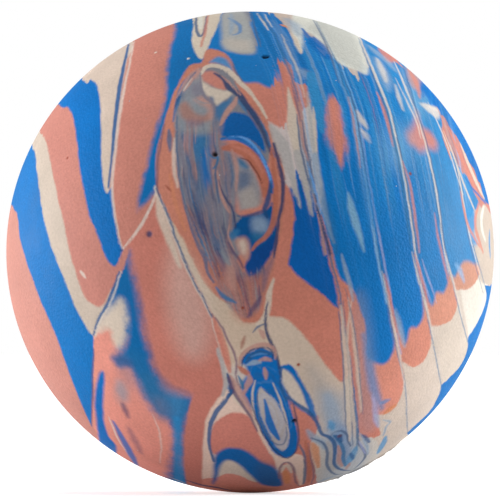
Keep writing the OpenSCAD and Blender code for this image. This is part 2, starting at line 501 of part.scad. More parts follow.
module swirl_blue_cap() { ball_strip("swirl_blue_cap"); }
module swirl_curl() { ball_strip("swirl_curl"); }
module swirl_blue_patch() { ball_strip("swirl_blue_patch"); }
module swirl_grey() { ball_strip("swirl_grey"); }
module swirl_ring() { ball_strip("swirl_ring"); }
module lower_swirl_core() { ball_strip("lower_swirl_core"); }
module lower_swirl() { ball_strip("lower_swirl"); }
module blue_leaf() { ball_strip("blue_leaf"); }
module blue_outer_strip() { ball_strip("blue_outer_strip"); }
module cream_outer_strip() { ball_strip("cream_outer_strip"); }
module salmon_middle_strip() { ball_strip("salmon_middle_strip"); }
module blue_middle_strip() { ball_strip("blue_middle_strip"); }
module cream_hook() { ball_strip("cream_hook"); }
module grey_crown_patch() { ball_strip("grey_crown_patch"); }
module blue_crown_patch() { ball_strip("blue_crown_patch"); }
module salmon_crown_wedge() { ball_strip("salmon_crown_wedge"); }
module blue_crown_strip() { ball_strip("blue_crown_strip"); }
module salmon_upper_strip() { ball_strip("salmon_upper_strip"); }
module cream_wedge_strip() { ball_strip("cream_wedge_strip"); }
module cream_ribbon() { ball_strip("cream_ribbon"); }
module blue_dart() { ball_strip("blue_dart"); }
module salmon_seam_strip() { ball_strip("salmon_seam_strip"); }
module salmon_lobe_right() { ball_strip("salmon_lobe_right"); }
module salmon_spot() { ball_strip("salmon_spot"); }
module blue_feather_1() { ball_strip("blue_feather_1"); }
module blue_feather_2() { ball_strip("blue_feather_2"); }
module blue_feather_3() { ball_strip("blue_feather_3"); }
module blue_feather_4() { ball_strip("blue_feather_4"); }
module salmon_scallop_1() { ball_strip("salmon_scallop_1"); }
module salmon_scallop_2() { ball_strip("salmon_scallop_2"); }
module salmon_scallop_3() { ball_strip("salmon_scallop_3"); }
module salmon_scallop_4() { ball_strip("salmon_scallop_4"); }
module cream_scallop_1() { ball_strip("cream_scallop_1"); }
module cream_scallop_2() { ball_strip("cream_scallop_2"); }
module cream_scallop_3() { ball_strip("cream_scallop_3"); }
module cream_scallop_4() { ball_strip("cream_scallop_4"); }
module blue_arch() { ball_strip("blue_arch"); }
module salmon_lobe_bottom() { ball_strip("salmon_lobe_bottom"); }
module salmon_bottom_strip() { ball_strip("salmon_bottom_strip"); }
module cream_under_arch() { ball_strip("cream_under_arch"); }
module cream_collar() { ball_strip("cream_collar"); }
module salmon_slip() { ball_strip("salmon_slip"); }
module cream_band_right() { ball_strip("cream_band_right"); }
module cream_folds_strip() { ball_strip("cream_folds_strip"); }
module cream_neck() { ball_strip("cream_neck"); }
module blue_tongue() { ball_strip("blue_tongue"); }
module salmon_lobe_left() { ball_strip("salmon_lobe_left"); }
module cream_patch_left() { ball_strip("cream_patch_left"); }
module blue_sliver_left() { ball_strip("blue_sliver_left"); }
module salmon_base_left() { ball_strip("salmon_base_left"); }
module salmon_rim_strip() { ball_strip("salmon_rim_strip"); }

// The torn fin that the mould's parting line leaves at the lower right
module moulding_flash() {
    reach = 2 * ball_r;
    color(cream)
        difference() {
            rotate([90, 0, 0])
                translate([0, 0, -flash_t / 2])
                    linear_extrude(height = flash_t)
                        difference() {
                            intersection() {
                                circle(r = ball_r + flash_h, $fn = round_steps);
                                polygon(reach * [
                                    [0, 0],
                                    [cos(flash_start), sin(flash_start)],
                                    [cos(flash_end), sin(flash_end)]
                                ]);
                            }
                            circle(r = ball_r - flash_t, $fn = round_steps);
                        }
            sphere(d = ball_d, $fn = round_steps);
        }
}

swirl_blue_cap();
swirl_curl();
swirl_blue_patch();
swirl_grey();
swirl_ring();
lower_swirl_core();
lower_swirl();
blue_leaf();
blue_outer_strip();
cream_outer_strip();
salmon_middle_strip();
blue_middle_strip();
cream_hook();
grey_crown_patch();
blue_crown_patch();
salmon_crown_wedge();
blue_crown_strip();
salmon_upper_strip();
cream_wedge_strip();
cream_ribbon();
blue_dart();
salmon_seam_strip();
salmon_lobe_right();
salmon_spot();
blue_feather_1();
blue_feather_2();
blue_feather_3();
blue_feather_4();
salmon_scallop_1();
salmon_scallop_2();
salmon_scallop_3();
salmon_scallop_4();
cream_scallop_1();
cream_scallop_2();
cream_scallop_3();
cream_scallop_4();
blue_arch();
salmon_lobe_bottom();
salmon_bottom_strip();
cream_under_arch();
cream_collar();
salmon_slip();
cream_band_right();
cream_folds_strip();
cream_neck();
blue_tongue();
salmon_lobe_left();
cream_patch_left();
blue_sliver_left();
salmon_base_left();
salmon_rim_strip();
moulding_flash();
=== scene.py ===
import math

import bpy
import numpy as np
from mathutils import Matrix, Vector
from mathutils.geometry import delaunay_2d_cdt


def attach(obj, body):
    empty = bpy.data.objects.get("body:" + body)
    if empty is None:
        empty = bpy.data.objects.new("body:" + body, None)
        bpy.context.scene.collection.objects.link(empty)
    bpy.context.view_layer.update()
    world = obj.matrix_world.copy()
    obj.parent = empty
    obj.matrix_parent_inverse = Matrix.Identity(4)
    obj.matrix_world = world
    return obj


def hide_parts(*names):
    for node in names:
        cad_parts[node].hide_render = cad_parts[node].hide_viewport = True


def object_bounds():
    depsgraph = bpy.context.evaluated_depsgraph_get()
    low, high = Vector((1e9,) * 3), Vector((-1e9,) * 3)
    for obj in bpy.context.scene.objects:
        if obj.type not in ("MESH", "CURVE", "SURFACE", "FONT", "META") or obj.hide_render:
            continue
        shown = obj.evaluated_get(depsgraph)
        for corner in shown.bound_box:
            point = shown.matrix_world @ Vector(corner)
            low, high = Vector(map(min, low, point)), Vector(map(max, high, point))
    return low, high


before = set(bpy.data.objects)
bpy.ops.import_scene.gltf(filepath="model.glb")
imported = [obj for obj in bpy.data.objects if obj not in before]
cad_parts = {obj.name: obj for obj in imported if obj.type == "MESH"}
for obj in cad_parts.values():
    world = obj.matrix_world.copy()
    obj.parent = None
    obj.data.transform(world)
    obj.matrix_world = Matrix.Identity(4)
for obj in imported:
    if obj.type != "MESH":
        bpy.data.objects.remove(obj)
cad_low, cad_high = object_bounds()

# The photograph, in its own pixels
FRAME_PX = (500, 499)
BALL_CENTRE_PX = (250.1, 252.2)
BALL_HALF_WIDE_PX = 243.8
BALL_HALF_HIGH_PX = 240.7
SHARE_PX = 242.0

# The ball, in metres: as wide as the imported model, and a little lower than wide, as photographed
BALL_HALF_WIDE = (cad_high.x - cad_low.x) / 2
BALL_HALF_DEEP = BALL_HALF_WIDE
BALL_HALF_HIGH = BALL_HALF_WIDE * BALL_HALF_HIGH_PX / BALL_HALF_WIDE_PX
BALL_AXES = np.array([BALL_HALF_WIDE, BALL_HALF_DEEP, BALL_HALF_HIGH])
CAMERA_BACK = 1.2
LIMB_Y = -BALL_HALF_DEEP**2 / CAMERA_BACK
# Half the width of the ball's silhouette, for one metre ahead of the camera
LIMB_SLOPE = BALL_HALF_WIDE / math.sqrt(CAMERA_BACK**2 - BALL_HALF_DEEP**2)
SHARE_SLOPE = LIMB_SLOPE * SHARE_PX / BALL_HALF_WIDE_PX

# How finely the skin is meshed
FRONT_STEP = 0.000116
BACK_STEP = 0.00018

# The dust on the skin: how much, how big in metres, and how near the ball's extremes it comes
SPECKS_PER_SQUARE_METRE = 42000.0
SPECK_SIZES = (0.00006, 0.00016)
SPECK_REACH = 0.95
SPECK_SEED = 7
SPECK_FLATNESS = 0.55
# The net that the dust is strewn over: cells round and up, and how far up and down it goes, in degrees
NET_TURNS = 48
NET_ROWS = 24
NET_TOP = 66

# Colours of the rubber, as display values
PALETTE = {
    "blue": "#0465AE",
    "bright_blue": "#1B7EC0",
    "sky": "#2F86BE",
    "pale_blue": "#7FA9CF",
    "dusty_blue": "#5A85B5",
    "navy": "#1A3A72",
    "teal": "#2A6A94",
    "salmon": "#C67D6C",
    "orange": "#D08658",
    "rust": "#8A3F30",
    "cream": "#CBBCAC",
    "crown_cream": "#D4D5CB",
    "frost": "#8CB4C8",
    "crown_grey": "#A9ABA6",
    "pale": "#CFC5BB",
    "haze": "#8FA3B8",
    "smoke": "#8C8F9A",
    "slate": "#4E6484",
    "deep": "#2A588A",
    "pale_grey": "#A9AAA8",
    "lilac": "#9AA0C8",
    "plum": "#5C4A66",
    "grey": "#7C8090",
    "black": "#14141A",
    "steel": "#2F6D9C",
    "azure": "#5E9ADA",
    "sea": "#4E90BE",
    "marine": "#0A4488",
    "ink": "#1E4A7A",
    "indigo": "#2F3F66",
    "mauve": "#7E6474",
    "mist": "#ACA8A6",
    "ash": "#7A7684",
    "fog": "#868C92",
    "rose": "#B68A80",
    "tan": "#A0766C",
    "brick": "#B26A56",
    "umber": "#6E3C34",
}

# Steps of a curve between two places of an outline, ring or path
CURVE_STEPS = 4
# How far the paint of the front and of the back run into each other past the rim, in radii
RIM_BLEND = 0.035
# How far past the limb a ring of places must lie to leave this side alone, and how far a patch may reach
# past it, in radii
OTHER_SIDE = 0.3
PAST_LIMB = 0.2
# How the places of the paint are shaken, coarse then fine: over what size, how far, seed
SHAKES = ((0.035, 0.0022, 11), (0.012, 0.0008, 21))
# How much lighter and darker the rubber is from place to place, and over what size
MOTTLE = 0.06
MOTTLE_SIZE = 0.11
# How ragged the edge of a strip is, the size and seed of its coarse and its fine noise, the share of the
# fine one, and how soft an edge must be, in radii, to be ragged
FUZZ = 0.55
COARSE_FUZZ = (0.035, 42)
FINE_FUZZ = (0.008, 41)
FINE_SHARE = 0.5
RAGGED_FROM = 0.015
# The dark seams behind: how strong, half their width in radii and how far their edge reaches, and the size
# and seed of the noise that breaks them, and its contrast
SEAM_STRENGTH = 0.7
SEAM_HALF_WIDE = 0.007
SEAM_EDGE = 1.2
SEAM_BREAKS = (0.16, 43)
SEAM_CONTRAST = 2.4
# The cells that noise repeats after, and where the noise of a plane is cut from it
GRAIN_CELLS = 32
CLOUD_LEVEL = 0.37
# The colour of the faces inside the ball, in linear numbers
INNER_COLOUR = (0.5, 0.3, 0.3)

# In the tables below, places are runs of numbers: right, up, right, up. They, widths and soft edges are in
# thousandths of SHARE_PX, from the middle of the ball. A place written twice is a corner.

# Each strip: its rubber, its own tint, its soft edge, its outlines in front and its outlines behind, seen
# through the ball. Where outlines overlap, the strip that comes first has the place.
# The own tints of the strips in the middle of the ball, such as the blue dart and the left salmon lobe, are a
# little darker than the same rubber elsewhere: that darkening is painted shade over the rubber's own colour
STRIPS = {
    "swirl_blue_cap": ("blue", "#005AA0", 4, [
        (-140, 500, -110, 540, -80, 575, -40, 575, 0, 560, 30, 520, 60, 450, 60, 410, 20, 450, -30, 475,
        -100, 475),
    ], []),
    "swirl_curl": ("salmon", "salmon", 4, [
        (-120, 455, -50, 465, 0, 440, 50, 380, 80, 310, 90, 220, 60, 170, 0, 150, -50, 160, -90, 220,
        -100, 320, -80, 400),
    ], []),
    "swirl_blue_patch": ("blue", "#06508C", 4, [
        (-70, 90, -50, 130, 0, 170, 50, 200, 80, 220, 110, 120, 100, 30, 80, -20, 40, -70, 0, -95, -20, -60,
        0, -10, -20, 40, -50, 60),
    ], []),
    "swirl_grey": ("grey", "#7D7C84", 4, [
        (-290, 660, -250, 730, -200, 750, -150, 780, -90, 760, -50, 680, 0, 600, 50, 530, 80, 460, 75, 380,
        50, 300, 40, 180, 0, 50, -50, -20, -100, -80, -150, -50, -200, 20, -250, 140, -290, 280,
        -310, 420, -310, 550),
    ], []),
    "swirl_ring": ("salmon", "#BE7B68", 4, [
        (-385, 260, -385, 260, -390, 330, -385, 420, -360, 520, -330, 620, -295, 700, -250, 770, -200, 785,
        -185, 830, -150, 840, -90, 810, -60, 750, -20, 690, 40, 600, 80, 530, 110, 450, 140, 340,
        135, 120, 110, 0, 95, -120, 70, -220, 50, -280, -20, -290, -80, -220, -140, -180, -190, -120,
        -230, -50, -280, 60, -345, 160),
    ], []),
    "lower_swirl_core": ("cream", "cream", 4, [
        (40, -560, 70, -580, 110, -620, 140, -680, 160, -750, 155, -800, 130, -820, 100, -790, 70, -730,
        40, -660, 30, -600),
    ], []),
    "lower_swirl": ("blue", "blue", 4, [
        (-50, -470, -30, -430, 10, -410, 50, -395, 100, -420, 125, -480, 140, -560, 170, -650, 195, -740,
        190, -820, 150, -850, 100, -830, 60, -770, 20, -680, -30, -610, -100, -560, -110, -480),
    ], []),
    "blue_leaf": ("blue", "blue", 4, [
        (120, -475, 170, -465, 210, -530, 250, -600, 278, -685, 278, -685, 240, -670, 180, -630, 140, -580,
        120, -520),
    ], []),
    "blue_outer_strip": ("blue", "#0A6AAE", 4, [
        (-1150, 260, -980, 190, -950, 50, -920, -50, -870, -190, -800, -350, -740, -520, -700, -620,
        -655, -720, -655, -720, -650, -550, -645, -400, -650, -345, -650, -345, -670, -320,
        -730, -210, -780, -80, -830, 50, -860, 180, -880, 330, -900, 440, -1000, 560),
        (970, -140, 970, -140, 975, -200, 940, -290, 900, -350, 900, -350, 895, -410, 860, -480,
        790, -550, 790, -550, 780, -590, 740, -660, 650, -745, 650, -745, 750, -950, 1200, -600,
        1200, -140),
    ], [
        (-1150, 500, -900, 440, -600, 330, -200, 220, 200, 40, 600, -120, 970, -120, 1200, -200, 950, -950,
        670, -735, 400, -450, 0, -250, -400, -20, -750, 120, -980, 190, -1150, 260),
    ]),
    "cream_outer_strip": ("cream", "#BBAC9E", 4, [
        (-1050, 620, -870, 500, -830, 400, -800, 250, -770, 120, -745, 0, -715, -100, -680, -190,
        -630, -225, -600, -210, -575, -150, -575, -150, -605, -270, -650, -345, -650, -345,
        -750, -300, -950, 300, -1100, 500),
        (900, 120, 930, 0, 950, -70, 965, -130, 1150, -200, 1150, 120, 1020, 130, 970, 200, 940, 180),
    ], [
        (-1100, 600, -870, 500, -550, 430, -150, 360, 250, 220, 600, 110, 990, 140, 1200, 140, 1200, -400,
        400, -300, -400, 100, -1100, 400),
    ]),
    "salmon_middle_strip": ("salmon", "#B87A6E", 4, [
        (-950, 780, -790, 610, -755, 600, -730, 550, -715, 450, -705, 350, -685, 250, -665, 150,
        -630, 70, -595, -20, -575, -50, -555, -55, -540, -30, -525, 10, -500, 30, -500, 30,
        -505, -20, -540, -100, -575, -150, -575, -150, -610, -250, -700, -200, -900, 300,
        -1100, 600),
        (790, 570, 830, 510, 870, 440, 910, 370, 950, 290, 985, 200, 1150, 200, 1150, 50, 990, 80,
        950, 190, 920, 260, 870, 340, 820, 420, 790, 500),
    ], [
        (-1000, 740, -790, 610, -500, 570, -100, 530, 300, 420, 650, 260, 980, 200, 1200, 200, 1200, 0,
        600, 0, -200, 200, -1100, 450),
    ]),
    "blue_middle_strip": ("blue", "#0066AE", 4, [
        (-850, 900, -690, 710, -660, 715, -635, 690, -620, 630, -615, 500, -615, 400, -605, 280,
        -590, 245, -573, 270, -573, 270, -560, 150, -545, 60, -525, 10, -525, 10, -550, -100,
        -650, -50, -800, 400, -1050, 700),
        (700, 710, 730, 640, 770, 590, 810, 520, 850, 440, 890, 360, 930, 280, 975, 170, 1150, 150,
        1100, 800, 800, 950),
    ], [
        (-850, 900, -690, 720, -450, 710, -100, 720, 200, 670, 500, 630, 700, 710, 850, 900, 1200, 600,
        1200, 150, 650, 100, -200, 400, -1100, 500),
    ]),
    "cream_hook": ("cream", "#CBBDAC", 4, [
        (-270, 1100, -235, 970, -240, 880, -225, 820, -195, 800, -165, 870, -140, 920, -120, 980,
        -100, 1100),
    ], [
        (-270, 1100, -240, 970, -190, 920, -90, 910, -30, 990, -20, 1150),
    ]),
    "grey_crown_patch": ("grey", "grey", 4, [
        (-100, 1100, -115, 980, -110, 930, -110, 870, -90, 840, -40, 820, 10, 830, 35, 850, 20, 900, 0, 950,
        -20, 1100),
    ], []),
    "blue_crown_patch": ("blue", "#0A72B8", 12, [
        (-200, 1100, -180, 920, -190, 840, -150, 800, -100, 760, -60, 720, -20, 700, 30, 700, 80, 680,
        120, 690, 120, 690, 115, 780, 115, 780, 150, 770, 140, 820, 100, 900, 50, 990, 40, 1100),
    ], []),
    "salmon_crown_wedge": ("salmon", "salmon", 4, [
        (-100, 800, -40, 640, 40, 560, 80, 540, 130, 510, 165, 500, 180, 580, 250, 630, 230, 700, 180, 720,
        140, 800),
    ], []),
    "blue_crown_strip": ("blue", "#0868A8", 18, [
        (-360, 1100, -310, 935, -330, 850, -345, 750, -350, 650, -375, 550, -405, 450, -430, 350, -455, 250,
        -467, 170, -467, 170, -420, 220, -385, 260, -385, 260, -300, 500, -100, 700, -180, 840,
        -200, 1100),
    ], [
        (-380, 1100, -320, 945, -180, 880, -50, 820, 60, 860, 90, 990, 100, 1150),
    ]),
    "salmon_upper_strip": ("salmon", "#BC7B6D", 4, [
        (-550, 1050, -485, 870, -505, 800, -530, 680, -550, 500, -575, 360, -575, 200, -565, 80, -530, 0,
        -530, 0, -440, 120, -400, 220, -385, 260, -385, 260, -360, 500, -300, 700, -250, 900,
        -280, 1100),
    ], [
        (-580, 1000, -505, 860, -300, 780, -50, 790, -120, 880, -300, 945, -340, 1100),
    ]),
    "cream_wedge_strip": ("cream", "#C2B0A2", 4, [
        (-580, 1050, -460, 860, -490, 740, -520, 600, -540, 480, -550, 360, -570, 300, -600, 220,
        -650, 400, -700, 680, -900, 800),
        (40, 1100, 90, 990, 150, 930, 205, 830, 205, 830, 215, 900, 260, 870, 320, 820, 350, 820,
        380, 770, 500, 740, 500, 740, 480, 800, 450, 890, 480, 1100),
    ], [
        (-580, 1050, -490, 870, -300, 840, -50, 860, 40, 900, 40, 1150, 550, 1100, 440, 900, 410, 800,
        480, 600, 100, 600, -600, 600, -900, 800),
    ]),
    "cream_ribbon": ("cream", "#C6B8B4", 4, [
        (60, 620, 60, 500, 100, 400, 130, 300, 170, 260, 207, 185, 207, 185, 190, 290, 200, 320, 220, 270,
        250, 150, 250, 150, 245, 250, 238, 310, 265, 220, 285, 160, 285, 160, 300, 240, 280, 380,
        265, 520, 240, 640, 180, 660),
    ], []),
    # Its tint holds painted shade: a little darker than the blue elsewhere, for the middle of the ball
    "blue_dart": ("blue", "#045DAA", 4, [
        (120, 420, 150, 310, 180, 200, 180, 100, 158, -50, 158, -50, 200, -100, 280, -160, 340, -215,
        366, -230, 366, -230, 355, -150, 330, -50, 310, 50, 285, 160, 270, 300, 240, 420),
    ], []),
    "salmon_seam_strip": ("salmon", "#C87E6C", 4, [
        (285, 170, 310, 100, 340, 0, 370, -100, 420, -150, 450, -220, 475, -300, 482, -420, 495, -550,
        515, -690, 540, -750, 480, -770, 455, -760, 440, -700, 420, -550, 405, -400, 385, -280,
        350, -200, 320, -100, 280, 80),
    ], []),
    "salmon_lobe_right": ("salmon", "#C67C6A", 4, [
        (120, 310, 160, 270, 200, 100, 200, -50, 360, -200, 410, -250, 420, -360, 420, -480, 388, -535,
        360, -520, 300, -450, 250, -380, 190, -310, 140, -270, 70, -260, 50, -200, 60, -120, 80, 0,
        100, 120, 100, 260),
    ], []),
    "salmon_spot": ("salmon", "salmon", 22, [
        (315, 600, 340, 625, 370, 600, 385, 520, 400, 440, 390, 380, 365, 370, 340, 420, 315, 480,
        310, 540),
    ], []),
    "blue_feather_1": ("blue", "#0670B8", 12, [
        (-40, 1150, 80, 800, 160, 700, 220, 550, 250, 300, 280, 120, 330, -80, 410, -220, 440, -360,
        490, -440, 545, -465, 585, -430, 597, -370, 580, -280, 560, -150, 530, 0, 490, 220, 450, 450,
        400, 660, 360, 780, 250, 1000, 150, 1200),
    ], []),
    "blue_feather_2": ("blue", "#0670B6", 13, [
        (200, 1100, 340, 740, 420, 400, 480, 50, 540, -180, 590, -260, 640, -380, 660, -315, 690, -310,
        715, -270, 715, -200, 690, -50, 660, 70, 610, 350, 550, 620, 500, 740, 440, 820, 380, 950,
        320, 1200),
    ], []),
    "blue_feather_3": ("blue", "#1A74B2", 14, [
        (360, 1100, 440, 750, 560, 300, 640, 20, 700, -150, 750, -220, 770, -170, 800, -165, 820, -110,
        810, -40, 790, 80, 770, 200, 740, 350, 680, 620, 630, 770, 700, 900, 600, 1100),
    ], [
        (440, 1100, 380, 900, 360, 760, 440, 580, 750, 600, 900, 900),
    ]),
    "blue_feather_4": ("blue", "#2F7CB2", 14, [
        (600, 900, 660, 500, 740, 200, 780, 0, 840, -100, 870, -50, 900, -40, 950, -50, 960, 0, 970, 120,
        980, 240, 920, 440, 820, 620, 740, 800),
    ], []),
    "salmon_scallop_1": ("salmon", "#D28A76", 4, [
        (440, -300, 460, -500, 490, -640, 540, -670, 600, -640, 630, -570, 635, -500, 605, -380,
        560, -300),
    ], []),
    "salmon_scallop_2": ("salmon", "#CC8672", 4, [
        (570, -240, 570, -340, 600, -430, 650, -465, 680, -477, 725, -440, 745, -380, 740, -300,
        700, -240),
    ], []),
    "salmon_scallop_3": ("salmon", "#C68872", 4, [
        (710, -180, 710, -230, 730, -290, 770, -305, 820, -290, 850, -240, 855, -180, 810, -130),
    ], []),
    "salmon_scallop_4": ("salmon", "#C08A74", 4, [
        (800, -70, 820, -130, 850, -150, 880, -155, 920, -140, 945, -100, 950, -50, 900, -30),
    ], []),
    "cream_scallop_1": ("cream", "#C8B8AA", 4, [
        (460, -580, 480, -750, 535, -800, 500, -1000, 660, -1000, 650, -750, 645, -660, 610, -500),
    ], []),
    "cream_scallop_2": ("cream", "#CCBCAE", 4, [
        (610, -440, 600, -550, 620, -660, 620, -800, 800, -750, 820, -550, 790, -550, 760, -400,
        720, -340),
    ], []),
    "cream_scallop_3": ("cream", "#C8BAAC", 4, [
        (720, -270, 730, -400, 770, -550, 800, -600, 920, -500, 905, -360, 880, -220, 855, -130,
        810, -200),
    ], []),
    "cream_scallop_4": ("cream", "#D6CEC2", 4, [
        (850, -170, 860, -260, 880, -370, 980, -300, 1000, -150, 965, -100, 940, -100),
    ], []),
    "blue_arch": ("blue", "#0C5FA2", 14, [
        (-155, -955, -150, -880, -145, -840, -100, -810, -50, -810, 0, -830, 50, -870, 100, -890, 125, -930,
        130, -965, 50, -960, 0, -920, -50, -875, -90, -860, -120, -880, -140, -940),
    ], []),
    "salmon_lobe_bottom": ("salmon", "#C87E70", 4, [
        (-155, -830, -165, -760, -140, -700, -80, -665, -20, -670, 20, -720, 60, -800, 100, -860, 100, -900,
        0, -880, -100, -840),
    ], []),
    "salmon_bottom_strip": ("salmon", "#D28A7A", 4, [
        (-220, -960, -140, -930, -90, -915, -40, -925, 20, -950, 80, -930, 120, -910, 140, -870, 180, -900,
        200, -960, 220, -1150, -220, -1150),
    ], [
        (-250, -1150, -240, -970, -170, -800, -110, -580, 20, -550, 270, -900, 300, -1150),
    ]),
    "cream_under_arch": ("cream", "cream", 4, [
        (-146, -937, -138, -900, -120, -860, -50, -850, 20, -900, 80, -980, 0, -990, -100, -960),
    ], []),
    "cream_collar": ("cream", "#DCC2B2", 4, [
        (-120, -540, -60, -540, 0, -590, 50, -680, 90, -770, 120, -820, 170, -830, 220, -850, 220, -960,
        120, -930, -80, -830, -130, -900, -150, -1100, -240, -1100, -220, -800, -200, -660),
    ], []),
    "salmon_slip": ("salmon", "salmon", 4, [
        (150, -580, 180, -620, 240, -660, 285, -685, 270, -760, 250, -800, 270, -920, 280, -1100,
        180, -1100, 180, -900, 180, -800),
    ], []),
    "cream_band_right": ("cream", "#C8B4A2", 4, [
        (60, -250, 70, -310, 90, -370, 90, -450, 120, -530, 170, -600, 220, -650, 270, -700, 300, -745,
        340, -730, 400, -730, 460, -780, 460, -500, 300, -300, 150, -220),
    ], []),
    "cream_folds_strip": ("cream", "#C8C0B6", 8, [
        (240, -720, 280, -700, 380, -700, 500, -740, 535, -800, 530, -950, 400, -1100, 260, -1100,
        270, -920, 240, -820),
    ], [
        (180, -1100, 200, -960, 60, -750, -100, -520, -350, -300, -550, -140, -500, 20, -300, 20, 100, -150,
        600, -550, 800, -850, 600, -1100),
    ]),
    "cream_neck": ("cream", "#C6B09C", 4, [
        (-350, 170, -300, 40, -250, -70, -190, -190, -150, -270, -120, -360, -80, -460, 0, -500, 100, -480,
        100, -380, 70, -300, 80, -200, -50, -150, -200, 0),
    ], []),
    "blue_tongue": ("blue", "#00609C", 34, [
        (-503, 0, -503, 0, -480, -100, -460, -200, -445, -300, -420, -400, -390, -500, -350, -575,
        -280, -590, -240, -600, -240, -660, -270, -720, -285, -800, -280, -900, -240, -960, -220, -1100,
        -360, -1100, -340, -930, -320, -850, -315, -760, -330, -700, -390, -670, -430, -600, -460, -540,
        -500, -480, -550, -460, -550, -420, -520, -380, -510, -300, -520, -215, -550, -200, -585, -230,
        -640, -270, -610, -180, -560, -80),
    ], [
        (-380, -1100, -340, -940, -260, -780, -140, -620, -120, -780, -190, -970, -200, -1150),
    ]),
    # Its tint holds painted shade: a little darker than the salmon elsewhere, for the middle of the ball
    "salmon_lobe_left": ("salmon", "#BD7668", 4, [
        (-530, 40, -460, 140, -420, 240, -385, 280, -320, 180, -260, 50, -210, -60, -140, -180, -100, -260,
        -60, -380, -60, -500, -90, -560, -110, -610, -160, -660, -190, -740, -200, -850, -190, -950,
        -180, -1100, -300, -1100, -300, -900, -300, -740, -360, -600, -450, -400, -530, -100),
    ], []),
    "cream_patch_left": ("cream", "cream", 22, [
        (-660, -345, -630, -290, -590, -210, -540, -160, -490, -220, -490, -320, -530, -400, -560, -380,
        -575, -330, -600, -315, -630, -335),
    ], []),
    "blue_sliver_left": ("blue", "blue", 12, [
        (-625, -505, -603, -500, -605, -600, -605, -690, -585, -760, -550, -820, -600, -950, -620, -800,
        -635, -700, -643, -600),
    ], [
        (-620, -950, -610, -790, -540, -680, -550, -830, -560, -980),
    ]),
    "salmon_base_left": ("salmon", "#D48B7C", 18, [
        (-680, -370, -620, -300, -570, -290, -450, -350, -310, -700, -320, -1100, -750, -1000, -635, -780,
        -652, -700, -652, -500),
    ], []),
    "salmon_rim_strip": ("salmon", "#B98074", 4, [
        (-1200, 300, -900, 250, -750, -200, -640, -600, -630, -700, -600, -770, -600, -1000, -1200, -900),
    ], [
        (-1200, 300, -300, 300, 300, -100, 500, -600, 400, -1200, -1200, -1200),
    ]),
}

